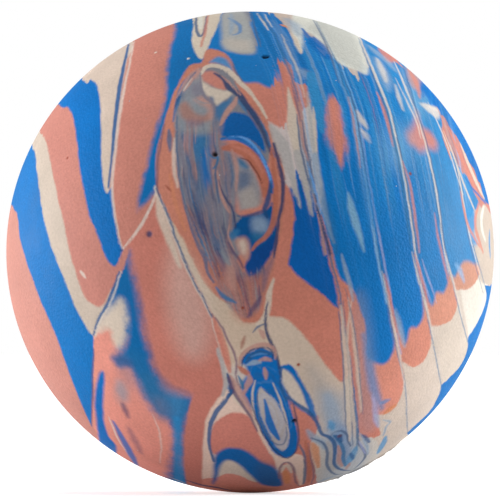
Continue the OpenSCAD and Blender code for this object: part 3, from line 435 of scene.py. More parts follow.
# Strokes laid over the strips: tint, widths along the path, soft edge, strength, path
STROKES = [
    # Upper left: the bands' own edges
    ("deep", (10, 22, 18, 10), 10, 0.95, (-500, 866, -520, 780, -540, 680, -555, 560, -565, 450, -575, 360,
        -585, 270)),
    ("pale", (8, 14, 14, 12, 6), 12, 0.7, (-480, 870, -500, 770, -525, 650, -545, 520, -560, 400, -570, 280,
        -565, 200, -550, 100, -530, 20)),
    ("salmon", (10, 30, 30, 12), 14, 0.9, (-640, 780, -600, 805, -560, 832, -515, 858)),
    ("deep", (20, 34, 20), 18, 0.85, (-520, 865, -500, 868, -480, 880)),
    ("pale", (6, 12, 12, 6), 8, 0.8, (-530, 10, -480, 70, -440, 130, -400, 210, -385, 260)),
    # The lobe left of the swirl's foot
    ("cream", (10, 36, 34, 26, 12), 20, 0.85, (-385, 235, -370, 160, -335, 60, -312, 0, -288, -60)),
    ("pale", (14, 16, 12, 8), 10, 0.8, (-392, 265, -362, 200, -332, 120, -307, 50, -272, -40, -232, -130,
        -192, -200, -160, -270)),
    ("slate", (8, 10, 9, 6), 6, 0.9, (-388, 262, -358, 200, -328, 120, -303, 50, -268, -40, -228, -130,
        -188, -200, -158, -270)),
    ("pale", (5, 9, 9, 5), 8, 0.7, (-160, -280, -130, -380, -100, -480, -95, -520)),
    # Lower left
    ("pale", (8, 18, 16, 10), 10, 0.7, (-535, -80, -576, -200, -616, -270, -641, -340)),
    ("deep", (8, 14, 12, 8), 8, 0.9, (-541, -80, -583, -200, -623, -270, -648, -340)),
    ("plum", (5, 10, 10, 4), 10, 0.7, (-645, -400, -652, -500, -651, -600, -655, -720)),
    ("plum", (10, 18, 18, 10), 30, 0.35, (-462, -150, -447, -250, -422, -370, -392, -470, -345, -545,
        -260, -575)),
    ("deep", (30, 60, 40), 40, 0.8, (-562, -440, -535, -450, -500, -460)),
    ("smoke", (30, 60, 30), 50, 0.6, (-540, -540, -530, -575, -520, -600)),
    ("plum", (20, 30, 14), 30, 0.75, (-525, -630, -515, -655, -505, -680)),
    ("sky", (34, 40, 40, 48), 24, 0.75, (-302, -690, -299, -780, -296, -860, -290, -950)),
    ("pale", (4, 10, 10, 6), 8, 0.75, (-585, -680, -560, -740, -535, -790, -480, -865)),
    ("blue", (12, 36, 40, 20), 20, 0.85, (-565, -700, -530, -765, -490, -840, -470, -880)),
    ("plum", (20, 40, 16), 34, 0.5, (-500, -730, -475, -780, -450, -830)),
    ("pale", (3, 9, 9, 4), 8, 0.5, (-405, -670, -378, -730, -368, -800, -372, -870)),
    ("pale", (6, 14, 4), 8, 0.9, (-330, -930, -290, -946, -255, -960)),
    ("indigo", (12, 34, 34, 14), 14, 0.8, (-265, -942, -200, -962, -140, -972, -80, -985)),
    ("pale", (10, 14, 6), 10, 0.8, (-700, -80, -690, -92, -680, -105)),
    # Crown
    ("dusty_blue", (8, 18, 16, 14, 6), 12, 0.85, (-90, 968, -62, 952, -42, 932, -45, 906, -68, 898)),
    ("haze", (10, 24, 10), 20, 0.7, (-80, 985, -75, 940, -80, 900)),
    ("slate", (3, 8, 8, 4), 7, 0.75, (4, 990, 20, 930, 34, 880, 46, 850)),
    ("slate", (8, 12, 14, 12, 8), 8, 0.9, (-218, 990, -224, 940, -210, 892, -188, 915, -178, 985)),
    ("crown_cream", (14, 22, 12), 10, 0.7, (-204, 985, -205, 955, -203, 925)),
    ("salmon", (8, 14, 10), 10, 0.75, (-172, 985, -182, 930, -192, 885, -204, 850)),
    ("pale", (5, 12, 6), 8, 0.8, (28, 988, 54, 952, 76, 918)),
    ("pale", (4, 8, 4), 6, 0.75, (60, 985, 75, 955, 92, 930)),
    ("haze", (30, 60, 30), 50, 0.7, (150, 965, 180, 940, 200, 900)),
    ("orange", (12, 20, 10), 10, 0.9, (130, 940, 141, 935, 152, 930)),
    ("blue", (10, 26, 26, 8), 12, 0.9, (215, 925, 240, 890, 270, 860, 305, 835)),
    ("cream", (12, 22, 20, 10), 12, 0.9, (170, 905, 185, 880, 200, 850, 212, 825)),
    ("slate", (4, 10, 10, 8, 4), 8, 0.75, (260, 960, 285, 915, 308, 870, 328, 825, 346, 770, 368, 700)),
    ("dusty_blue", (10, 40, 44, 30, 10), 30, 0.7, (90, 960, 130, 905, 158, 850, 180, 790, 200, 720)),
    ("haze", (20, 50, 30), 40, 0.6, (200, 755, 230, 735, 260, 705)),
    ("haze", (30, 70, 60, 20), 50, 0.65, (495, 850, 530, 820, 570, 785, 600, 750)),
    ("salmon", (26, 48, 30), 20, 0.85, (535, 850, 580, 810, 625, 770)),
    ("salmon", (16, 44, 30, 10), 24, 0.75, (655, 755, 678, 720, 692, 680, 700, 640)),
    # Lines between the feathers, from the crown down
    ("teal", (4, 9, 9, 8, 6), 7, 0.75, (30, 985, 100, 900, 130, 820, 160, 750, 190, 660, 200, 600, 210, 500,
        230, 400, 255, 280, 280, 170, 310, 70, 340, -50, 370, -170, 385, -300, 410, -420, 430, -600,
        440, -750, 440, -820)),
    ("cream", (6, 22, 26, 12), 12, 0.8, (376, -220, 390, -400, 404, -600, 410, -780)),
    ("slate", (3, 8, 8, 4), 7, 0.75, (356, -180, 372, -300, 384, -450, 392, -620, 398, -760)),
    ("slate", (3, 7, 7, 4), 7, 0.7, (384, -200, 398, -350, 410, -520, 420, -700, 424, -800)),
    ("cream", (4, 14, 14, 6), 10, 0.7, (418, -200, 402, -350, 412, -500, 420, -700)),
    ("teal", (4, 8, 8, 6), 7, 0.7, (270, 955, 310, 880, 360, 780, 390, 680, 430, 600, 450, 480, 470, 330,
        490, 220, 510, 100, 530, 0, 560, -150, 580, -280, 610, -420, 640, -550, 650, -750)),
    ("lilac", (3, 9, 10, 6), 8, 0.7, (445, 590, 466, 480, 486, 330, 506, 220, 526, 100, 546, 0, 575, -150,
        595, -280, 624, -420)),
    ("teal", (4, 8, 8, 6), 7, 0.7, (440, 900, 480, 800, 520, 700, 560, 600, 590, 480, 620, 350, 640, 200,
        660, 50, 690, -80, 720, -200, 750, -350, 780, -500, 790, -560)),
    ("salmon", (6, 16, 16, 6), 12, 0.8, (525, 660, 550, 590, 572, 520, 590, 440)),
    ("teal", (4, 8, 8, 6), 7, 0.7, (630, 770, 680, 620, 720, 460, 750, 330, 770, 200, 790, 80, 820, -50,
        850, -180, 880, -300, 900, -370)),
    ("salmon", (4, 14, 14, 6), 12, 0.7, (762, 160, 777, 60, 800, -40, 828, -150)),
    ("teal", (4, 8, 8, 6), 7, 0.6, (790, 620, 820, 500, 850, 380, 870, 250, 900, 100, 930, 0, 960, -100,
        975, -160)),
    ("pale_blue", (4, 12, 13, 12, 8), 9, 0.85, (412, 640, 432, 570, 448, 470, 466, 360, 484, 250, 502, 140,
        518, 30, 540, -90, 564, -210)),
    ("rose", (4, 10, 10, 4), 8, 0.75, (404, 640, 424, 560, 440, 460, 456, 350)),
    ("slate", (3, 7, 7, 4), 6, 0.75, (420, 640, 440, 570, 456, 470, 474, 360, 492, 250)),
    ("pale", (5, 12, 12, 6), 9, 0.85, (596, 500, 620, 400, 640, 300, 656, 200, 670, 100, 684, 0,
        706, -100)),
    ("slate", (3, 8, 8, 4), 6, 0.8, (560, 640, 592, 540, 618, 430, 640, 320, 660, 200, 678, 80, 696, -20)),
    ("pale", (4, 11, 11, 10, 5), 8, 0.8, (676, 600, 706, 510, 736, 400, 764, 280, 784, 150, 798, 30,
        820, -80)),
    ("slate", (3, 8, 8, 8, 4), 6, 0.75, (644, 700, 690, 580, 728, 460, 756, 340, 780, 220, 794, 100,
        812, -10, 842, -130)),
    ("pale", (4, 11, 11, 5), 8, 0.8, (828, 440, 858, 340, 878, 230, 896, 120, 922, 10, 950, -90)),
    ("slate", (3, 8, 8, 4), 6, 0.75, (812, 480, 846, 370, 870, 250, 888, 130, 914, 10, 944, -100,
        964, -170)),
    # Ribbons right of the swirl
    ("sky", (36, 52, 46, 20), 12, 0.95, (250, 735, 262, 665, 280, 590, 296, 500)),
    ("salmon", (10, 40, 50, 20), 24, 0.8, (130, 780, 155, 700, 180, 600, 200, 530)),
    ("mist", (20, 60, 50, 26, 6), 12, 0.8, (86, 520, 128, 445, 155, 375, 180, 290, 210, 185)),
    ("cream", (4, 30, 50, 42, 20), 14, 0.95, (156, 680, 170, 600, 176, 530, 190, 450, 206, 380)),
    ("mist", (30, 36, 26, 18, 6), 12, 0.9, (196, 410, 214, 350, 231, 280, 246, 220, 258, 150)),
    ("rose", (10, 22, 20, 8), 9, 0.85, (203, 620, 210, 540, 222, 460, 238, 380)),
    ("pale_grey", (4, 20, 24, 14), 24, 0.85, (236, 660, 249, 560, 258, 470, 268, 380)),
    ("haze", (28, 34, 30, 20, 10), 14, 0.8, (268, 400, 281, 310, 296, 230, 318, 130, 345, 40)),
    ("steel", (8, 30, 34, 20), 30, 0.5, (296, 260, 318, 180, 336, 100, 352, 0)),
    ("cream", (4, 16, 12, 5), 8, 0.85, (262, 600, 266, 540, 270, 480, 276, 420)),
    ("slate", (4, 10, 11, 9, 4), 6, 0.85, (192, 570, 204, 470, 218, 390, 238, 310, 256, 240)),
    ("slate", (3, 9, 10, 8, 4), 6, 0.85, (214, 545, 228, 460, 245, 380, 256, 330, 268, 270)),
    ("mauve", (3, 9, 9, 4), 6, 0.8, (170, 700, 186, 640, 198, 590, 208, 540)),
    ("azure", (3, 10, 10, 8, 4), 6, 0.85, (236, 370, 254, 310, 272, 245, 290, 180, 308, 120)),
    ("rose", (3, 8, 12, 14, 10), 6, 0.85, (262, 240, 278, 160, 294, 90, 306, 20, 312, -10)),
    ("indigo", (3, 8, 10, 10, 8), 6, 0.85, (268, 240, 286, 160, 304, 90, 320, 30, 330, -10)),
    # Wisps in the blue field
    ("pale", (10, 30, 14), 22, 0.8, (445, 580, 462, 545, 482, 515)),
    ("pale", (10, 30, 10), 20, 0.8, (462, 505, 480, 480, 496, 455)),
    ("pale", (8, 24, 10), 22, 0.7, (602, 690, 615, 640, 632, 590)),
    ("pale", (12, 36, 14), 28, 0.7, (525, 800, 545, 755, 562, 705)),
    ("pale", (6, 15, 13, 8), 9, 0.85, (446, 900, 488, 800, 530, 700, 570, 600, 602, 480)),
    ("pale", (4, 11, 10, 4), 9, 0.7, (600, 720, 650, 620, 690, 530, 705, 470)),
    ("pale", (4, 12, 10, 5), 8, 0.8, (735, 620, 778, 530, 815, 440, 850, 330, 880, 240)),
    ("pale", (4, 12, 10, 5), 10, 0.6, (130, 900, 165, 820, 200, 740, 225, 640)),
    ("bright_blue", (30, 90, 90, 40), 70, 0.6, (500, 500, 505, 380, 500, 250, 510, 120)),
    ("frost", (4, 30, 36, 24, 6), 18, 0.7, (404, 245, 417, 190, 434, 130, 452, 70, 472, 5)),
    ("salmon", (4, 14, 16, 6), 12, 0.75, (630, 375, 660, 280, 680, 150, 700, 0)),
    # Right rim
    ("pale", (10, 26, 20, 10), 22, 0.75, (712, 612, 745, 600, 775, 585)),
    ("salmon", (10, 34, 38, 20), 14, 0.85, (815, 520, 855, 430, 900, 330, 945, 230)),
    ("cream", (4, 14, 16, 12), 10, 0.85, (800, 500, 838, 405, 880, 290, 925, 180)),
    ("salmon", (6, 18, 18, 8), 10, 0.85, (870, 250, 885, 170, 905, 100, 950, 20)),
    ("cream", (10, 40, 44, 12), 14, 0.9, (868, 450, 900, 370, 935, 290, 968, 222)),
    ("blue", (6, 14, 14, 8), 10, 0.85, (880, 320, 915, 270, 948, 232, 975, 200)),
    ("salmon", (12, 26, 26, 14), 14, 0.85, (946, 200, 932, 150, 932, 100, 946, 50, 962, 0)),
    ("crown_cream", (12, 34, 30, 14), 14, 0.85, (966, 190, 956, 140, 960, 90, 972, 50)),
    ("sky", (10, 30, 30, 12), 14, 0.85, (990, 90, 989, 40, 993, -20)),
    ("rose", (6, 16, 18, 10), 12, 0.8, (772, 600, 802, 530, 830, 460, 852, 400)),
    ("pale", (5, 14, 14, 6), 9, 0.8, (594, 790, 622, 730, 648, 665, 676, 600)),
    # Feathers
    ("haze", (6, 18, 18, 6), 14, 0.75, (378, -10, 395, -70, 415, -150, 425, -200)),
    ("dusty_blue", (16, 40, 44, 20), 34, 0.75, (470, -340, 492, -460, 512, -560, 545, -645)),
    ("haze", (10, 30, 26, 8), 22, 0.7, (600, -240, 612, -290, 625, -340, 640, -390)),
    ("lilac", (4, 12, 10, 4), 10, 0.7, (680, -10, 700, -70, 725, -140, 750, -210)),
    ("lilac", (4, 10, 8, 3), 8, 0.7, (710, -30, 730, -90, 752, -150, 770, -210)),
    ("pale_blue", (12, 30, 12), 22, 0.7, (850, -50, 870, -80, 885, -120)),
    ("cream", (5, 18, 20, 8), 12, 0.7, (405, -190, 428, -340, 446, -500, 460, -660)),
    ("slate", (3, 7, 7, 3), 7, 0.65, (392, -150, 430, -310, 452, -500, 468, -670)),
    ("pale", (3, 12, 12, 5), 9, 0.75, (545, -80, 572, -200, 598, -330, 622, -450, 640, -580)),
    ("salmon", (3, 14, 14, 6), 10, 0.8, (556, -90, 582, -210, 606, -330)),
    ("pale", (3, 12, 12, 5), 9, 0.75, (668, 0, 700, -120, 735, -250, 758, -360)),
    ("salmon", (3, 14, 14, 6), 10, 0.8, (680, 0, 712, -120, 742, -230)),
    ("pale", (3, 12, 12, 5), 9, 0.75, (800, 20, 830, -90, 858, -190, 876, -270)),
    # The big swirl: its ring
    ("steel", (10, 36, 30, 14), 16, 0.8, (-50, 628, -20, 600, 8, 572, 26, 540)),
    ("pale", (6, 18, 16, 8), 14, 0.7, (-312, 470, -316, 400, -312, 330, -300, 270)),
    ("slate", (10, 24, 18, 8), 12, 0.85, (-337, 505, -333, 470, -331, 440, -331, 420)),
    ("orange", (10, 18, 18, 10), 14, 0.35, (-332, 320, -318, 240, -295, 160, -268, 90)),
    ("rust", (4, 9, 4), 8, 0.7, (-350, 275, -338, 262, -328, 250)),
    ("plum", (4, 10, 10, 6), 9, 0.7, (-352, 530, -378, 400, -384, 280, -375, 230)),
    ("steel", (6, 16, 22, 12, 6), 10, 0.85, (-245, 735, -280, 690, -300, 620, -312, 580, -318, 540)),
    ("rose", (6, 14, 14, 6), 10, 0.8, (-300, 640, -275, 690, -245, 735, -212, 762)),
    ("slate", (5, 10, 10, 12, 16, 8), 8, 0.8, (-302, 560, -303, 460, -300, 380, -290, 300, -275, 220,
        -250, 120, -215, 30, -190, -20, -176, -80, -150, -125)),
    ("steel", (8, 18, 16, 6), 10, 0.85, (-140, -145, -115, -178, -85, -196, -60, -208)),
    ("cream", (10, 22, 24, 22, 26, 22, 18, 14, 10), 8, 0.95, (-202, 735, -185, 762, -150, 772, -110, 762,
        -75, 738, -35, 695, 0, 660, 35, 612, 70, 555)),
    ("slate", (4, 8, 8, 4), 6, 0.8, (-75, 790, -58, 745, -30, 705)),
    ("indigo", (8, 18, 28, 28, 26, 22, 18, 12), 10, 0.9, (-150, 738, -108, 715, -90, 682, -50, 655, -20, 615,
        20, 560, 55, 500, 78, 440, 92, 400)),
    ("rose", (4, 10, 9, 5), 7, 0.8, (-118, 728, -90, 705, -62, 672, -40, 650)),
    ("mauve", (4, 8, 4), 7, 0.7, (-12, 585, 10, 550, 32, 510)),
    ("steel", (3, 9, 8, 4), 7, 0.7, (36, 560, 60, 510, 82, 450, 100, 390)),
    ("brick", (8, 18, 22, 22, 20, 16, 10), 8, 0.9, (88, 430, 98, 340, 104, 260, 104, 180, 92, 110, 65, 65,
        30, 35, 10, 10)),
    ("indigo", (10, 16, 17, 14, 12, 14, 8), 8, 0.9, (98, 450, 118, 370, 134, 290, 133, 210, 118, 130,
        108, 40, 98, -20)),
    ("salmon", (14, 34, 30, 18), 12, 0.9, (142, 0, 122, -60, 104, -110, 92, -150)),
    ("mauve", (8, 26, 24, 8), 20, 0.7, (98, -20, 78, -60, 62, -110, 52, -160)),
    ("cream", (8, 22, 26, 24, 14), 10, 0.9, (98, -110, 82, -160, 74, -220, 62, -265, 30, -300)),
    ("plum", (6, 22, 18, 10), 14, 0.75, (45, -185, 28, -215, 8, -240, -8, -268)),
    ("rose", (12, 44, 44, 16), 30, 0.7, (-75, -20, -78, -70, -82, -110, -70, -150)),
    ("fog", (10, 24, 12), 18, 0.7, (-118, 5, -98, -30, -85, -50)),
    # Its cap, curl and patch
    ("blue", (10, 24, 26, 22, 14), 8, 0.95, (-120, 468, -50, 468, 5, 440, 50, 380, 80, 310, 88, 250)),
    ("azure", (4, 10, 11, 10, 6), 6, 0.9, (-88, 476, -40, 478, 0, 456, 30, 422, 60, 370, 80, 320, 86, 290)),
    ("brick", (20, 44, 48, 44, 24), 12, 0.95, (-108, 432, -50, 430, 0, 400, 36, 350, 58, 290, 64, 235)),
    ("salmon", (6, 18, 18, 6), 12, 0.7, (-80, 440, -20, 422, 22, 386, 52, 330)),
    ("umber", (3, 7, 8, 7, 4), 6, 0.85, (-42, 390, -10, 380, 15, 350, 35, 315, 48, 285)),
    ("ink", (6, 18, 22, 18, 10), 10, 0.9, (80, 290, 80, 250, 70, 205, 60, 175, 72, 145)),
    ("ink", (6, 14, 14, 10), 10, 0.8, (-50, 150, -10, 150, 30, 162, 58, 172)),
    ("rose", (3, 7, 7, 3), 6, 0.8, (-85, 112, -91, 75, -82, 42, -64, 5)),
    ("plum", (4, 10, 10, 6), 8, 0.8, (-92, 40, -68, 0, -44, -32, -28, -66)),
    # The knot left of the neck
    ("mist", (14, 20, 22, 20, 14), 12, 0.9, (-134, -400, -118, -450, -106, -500, -102, -550, -114, -592)),
    ("ink", (5, 22, 28, 20, 6), 8, 0.95, (-94, -500, -84, -530, -75, -555, -78, -580, -92, -604)),
    # The big swirl's mixed grey filling
    ("rose", (6, 18, 16, 6), 12, 0.85, (-276, 662, -252, 698, -224, 733, -200, 755)),
    ("pale", (3, 7, 3), 7, 0.7, (-284, 648, -263, 688, -240, 718)),
    ("ink", (4, 13, 6), 10, 0.8, (-313, 596, -298, 628, -276, 664)),
    ("ash", (5, 12, 13, 12, 6), 8, 0.85, (-205, 740, -204, 700, -193, 655, -169, 628, -151, 612,
        -146, 575)),
    ("fog", (4, 9, 4), 8, 0.7, (-230, 640, -200, 620, -165, 615)),
    ("rose", (8, 24, 24, 10), 10, 0.9, (-58, 640, -68, 610, -98, 575, -122, 528)),
    ("teal", (5, 10, 11, 8), 7, 0.85, (-168, 405, -152, 388, -134, 390, -140, 360, -152, 345)),
    ("slate", (5, 10, 10, 9, 5), 7, 0.9, (-140, 360, -143, 310, -136, 260, -129, 205)),
    ("rose", (5, 12, 14, 12, 6), 8, 0.9, (-136, 335, -126, 280, -116, 225, -100, 190, -85, 165)),
    ("indigo", (4, 8, 9, 9, 6), 7, 0.85, (-130, 300, -112, 240, -90, 205, -72, 180, -62, 120, -60, 100)),
    ("slate", (4, 10, 10, 4), 9, 0.75, (-88, 405, -78, 350, -72, 300, -78, 265)),
    ("slate", (3, 8, 8, 3), 8, 0.7, (-106, 380, -101, 320, -98, 260, -86, 215)),
    ("rose", (8, 16, 14, 6), 12, 0.75, (-76, 425, -60, 370, -55, 310, -58, 255)),
    # Right of the neck, and the knot under it
    ("indigo", (4, 12, 14, 12, 10), 8, 0.9, (72, -205, 64, -262, 68, -322, 86, -372, 106, -414, 118, -458,
        128, -520)),
    ("slate", (3, 10, 6), 7, 0.85, (10, -334, 32, -308, 60, -298)),
    ("rose", (6, 22, 14), 12, 0.8, (36, -322, 50, -334, 58, -352)),
    ("rose", (10, 30, 30, 20, 10), 10, 0.8, (-82, -510, -56, -560, -26, -610, 8, -665, 34, -720)),
    ("plum", (10, 16, 14, 12, 6), 10, 0.85, (-92, -520, -70, -570, -40, -620, 0, -680, 30, -740)),
    ("deep", (10, 22, 18, 12, 12), 8, 0.9, (-75, -570, -100, -610, -140, -660, -165, -720, -170, -780,
        -160, -830, -150, -865)),
    ("salmon", (8, 30, 32, 12), 12, 0.85, (-152, -265, -127, -340, -102, -420, -82, -495)),
    ("mauve", (5, 10, 10, 9, 6), 7, 0.85, (-158, -255, -118, -310, -92, -365, -64, -420, -56, -480,
        -58, -520, -40, -560)),
    ("rust", (6, 18, 8), 14, 0.6, (-22, -348, -30, -372, -37, -396)),
    ("rose", (6, 16, 20, 16, 8), 9, 0.85, (-44, -470, -40, -435, -12, -405, 35, -385, 72, -382, 102, -406,
        104, -440)),
    ("indigo", (4, 8, 8, 6), 6, 0.85, (-34, -478, -28, -440, 2, -408, 40, -396, 72, -394, 94, -414,
        92, -440)),
    # The small eye
    ("deep", (8, 20, 22, 14), 8, 0.9, (-18, -456, 4, -430, 44, -414, 84, -420)),
    ("azure", (3, 8, 3), 8, 0.6, (4, -432, 36, -420, 68, -420)),
    ("haze", (8, 24, 16), 10, 0.85, (-12, -466, 14, -456, 40, -454)),
    ("rose", (8, 22, 10), 10, 0.85, (38, -448, 62, -440, 86, -446)),
    ("rose", (10, 22, 10), 10, 0.85, (58, -480, 64, -500, 66, -522)),
    ("brick", (12, 26, 22), 10, 0.9, (-46, -474, -30, -488, -12, -500)),
    ("rose", (10, 28, 24, 10), 10, 0.85, (-6, -505, -2, -532, -18, -560, -26, -585)),
    ("teal", (6, 16, 12), 8, 0.85, (-48, -512, -36, -536, -30, -560)),
    ("deep", (4, 10, 10, 8), 7, 0.8, (135, -470, 126, -520, 132, -570, 150, -610)),
    ("cream", (4, 10, 10, 4), 7, 0.85, (20, -530, 8, -600, 20, -690, 52, -760)),
    ("cream", (4, 9, 9, 4), 7, 0.85, (95, -540, 128, -620, 150, -700, 160, -770)),
    ("blue", (8, 30, 28, 8), 8, 0.95, (60, -610, 80, -700, 98, -740, 122, -775)),
    ("indigo", (4, 8, 9, 9, 9, 8, 5), 7, 0.75, (-2, -600, 20, -672, 48, -740, 80, -790, 112, -828, 156, -851,
        193, -812, 200, -740, 181, -640, 150, -575)),
    ("slate", (3, 8, 8, 8, 3), 6, 0.7, (30, -580, 34, -660, 62, -740, 104, -790, 140, -790, 152, -740,
        136, -660)),
    # The leaf and the folds right of it
    ("haze", (10, 36, 36, 16), 22, 0.8, (236, -736, 262, -766, 296, -786, 312, -812)),
    ("mist", (8, 26, 26, 20), 10, 0.85, (318, -782, 334, -810, 332, -860, 346, -900)),
    ("rose", (8, 22, 22, 12), 10, 0.8, (364, -800, 370, -830, 368, -862, 380, -886)),
    ("steel", (10, 17, 18, 12), 8, 0.8, (346, -756, 374, -790, 386, -825, 386, -858, 394, -884)),
    ("sea", (12, 40, 40, 16), 20, 0.75, (398, -880, 412, -860, 424, -836, 436, -806)),
    ("rose", (8, 22, 10), 12, 0.7, (396, -898, 404, -884, 410, -872)),
    ("deep", (14, 24, 14), 10, 0.85, (354, -758, 368, -766, 376, -782)),
    ("deep", (10, 18, 10), 10, 0.7, (414, -832, 422, -842, 424, -856)),
    ("slate", (4, 10, 12, 10, 6), 7, 0.85, (334, -760, 348, -744, 378, -738, 397, -752, 404, -780,
        416, -802)),
    ("slate", (6, 12, 14, 14, 10, 6), 8, 0.85, (252, -768, 296, -784, 318, -812, 316, -866, 330, -902,
        356, -918, 384, -914)),
    ("deep", (10, 16, 17, 16, 14, 18, 18, 16, 14, 10), 8, 0.9, (150, -600, 200, -632, 242, -660, 268, -690,
        284, -722, 300, -752, 332, -766, 350, -794, 350, -830, 348, -868, 362, -892, 392, -902)),
    ("slate", (8, 12, 14, 12, 8), 8, 0.85, (388, -902, 420, -900, 450, -878, 472, -852, 474, -828, 460, -806,
        446, -786, 446, -730)),
    ("steel", (4, 9, 9, 5), 6, 0.75, (428, -560, 434, -630, 444, -700, 448, -760)),
    ("haze", (5, 13, 14, 8), 8, 0.8, (456, -748, 470, -776, 484, -806, 486, -836)),
    ("lilac", (4, 10, 10, 6), 7, 0.75, (450, -780, 462, -806, 476, -832)),
    ("deep", (6, 18, 12), 10, 0.8, (464, -754, 480, -770, 492, -786)),
    ("haze", (30, 60, 60, 30), 40, 0.6, (318, -590, 334, -640, 344, -690, 350, -740)),
    ("sea", (14, 36, 16), 22, 0.8, (330, -700, 337, -716, 344, -730)),
    ("cream", (8, 22, 22, 8), 12, 0.9, (132, -910, 140, -884, 160, -886, 172, -912)),
    ("mauve", (6, 11, 12, 12, 10, 6), 8, 0.85, (118, -935, 124, -890, 144, -869, 168, -875, 184, -905,
        186, -942, 202, -966)),
    ("slate", (6, 14, 16, 10), 9, 0.85, (204, -796, 222, -832, 229, -872, 226, -920, 220, -958)),
    ("brick", (8, 24, 24, 12), 12, 0.8, (226, -780, 240, -830, 246, -890, 242, -950)),
    ("mauve", (4, 10, 10, 6), 8, 0.8, (240, -790, 252, -850, 262, -900, 262, -932, 250, -960)),
    ("orange", (14, 34, 30, 14), 16, 0.8, (258, -790, 268, -812, 276, -850, 282, -890)),
    ("orange", (20, 36, 20), 14, 0.85, (145, -905, 150, -930, 155, -955)),
    ("haze", (30, 50, 30), 26, 0.7, (286, -950, 312, -938, 340, -928)),
    ("lilac", (10, 26, 26, 12), 20, 0.7, (508, -590, 516, -640, 520, -690, 530, -720)),
    ("dusty_blue", (10, 30, 12), 18, 0.75, (540, -622, 556, -618, 572, -612)),
    ("orange", (12, 34, 16), 18, 0.7, (552, -668, 578, -650, 602, -632)),
    ("haze", (4, 12, 12, 10), 10, 0.85, (548, -694, 580, -700, 562, -722, 552, -756)),
    ("sea", (14, 36, 34, 14), 12, 0.85, (560, -762, 550, -790, 540, -812, 528, -832)),
]

# The lanes that the rubber of the right side was pulled along, from the swirl to the rim
LANES = [
    (-60, 985, 0, 860, 60, 740, 110, 560, 140, 340, 180, 100, 240, -120, 300, -340, 330, -820),
    (30, 985, 100, 900, 160, 750, 200, 600, 230, 400, 280, 170, 340, -50, 385, -300, 430, -600, 440, -820),
    (270, 955, 360, 780, 430, 600, 470, 330, 510, 100, 560, -150, 610, -420, 650, -750),
    (440, 900, 520, 700, 590, 480, 640, 200, 690, -80, 750, -350, 790, -560),
    (630, 770, 720, 460, 770, 200, 820, -50, 880, -300, 900, -370),
    (790, 620, 850, 380, 900, 100, 960, -100, 975, -160),
    (960, 640, 1000, 380, 1030, 100, 1060, -100, 1080, -180),
]
# Smears in the pulled field: tint, how fine across and how quick along, seed, level and strength
SMEARS = [
    ("sky", 6.0, 0.9, 81, 0.50, 0.55),
    ("haze", 11.0, 1.3, 83, 0.62, 0.45),
    ("salmon", 13.0, 1.6, 85, 0.70, 0.45),
    ("navy", 15.0, 1.2, 87, 0.68, 0.30),
    ("pale_blue", 21.0, 1.8, 89, 0.69, 0.45),
]
# The lines along each lane's edge: how far into the lane, half width, tint, strength
LANE_LINES = [
    (0.030, 0.045, "slate", 0.80),
    (0.095, 0.045, "pale_blue", 0.75),
    (0.940, 0.050, "haze", 0.45),
    (0.520, 0.030, "teal", 0.30),
]

# Marbled places: ring, soft edge, centre, half sizes, tilt, bands, warp, seed, tints, strength
MARBLED = [
    (
        (-10, -480, 60, -470, 115, -500, 160, -620, 185, -760, 150, -830, 90, -800, 20, -680, -10, -580),
        10, (0.085, -0.675), (0.1, 0.2), 0.3, 3.1, 0.3, 111,
        ("blue", "blue", "dusty_blue", "blue", "deep", "deep"), 0.3,
    ),
]

# The big swirl's filling, and the sides that it was drawn out between, from the top down
FILLING = (-205, 760, -160, 740, -150, 640, -110, 540, -120, 450, -60, 400, -60, 240, -66, 110, -90, 70,
    -30, -80, 60, -60, 50, -200, 0, -270, -60, -250, -104, -190, -167, -66, -230, 90, -286, 250, -300, 470,
    -270, 690)
FILLING_LEFT = (-240, 780, -300, 600, -310, 450, -290, 250, -230, 80, -170, -70, -80, -270)
FILLING_RIGHT = (-120, 780, -110, 600, -100, 450, -60, 250, -50, 80, 0, -70, 30, -270)
FILLING_SOFT = 12
# Its smears, as above, and the fibres that lie over its patches, up to a height
FILLING_SMEARS = [
    ("ash", 3.0, 2.0, 151, 0.20, 0.80),
    ("tan", 4.0, 2.6, 153, 0.46, 0.95),
    ("slate", 5.0, 3.0, 155, 0.52, 0.85),
    ("fog", 8.0, 3.4, 157, 0.58, 0.70),
    ("indigo", 9.0, 4.0, 159, 0.62, 0.70),
    ("rose", 11.0, 3.6, 161, 0.60, 0.75),
    ("steel", 10.0, 3.0, 163, 0.66, 0.70),
]
FILLING_FIBRES = [
    ("indigo", 9.0, 5.0, 171, 0.56, 0.50),
    ("tan", 7.0, 4.5, 173, 0.56, 0.50),
    ("fog", 12.0, 5.0, 175, 0.60, 0.45),
    ("rose", 15.0, 6.0, 177, 0.62, 0.50),
]
FIBRES_TOP = 0.58
FIBRES_FADE = 9

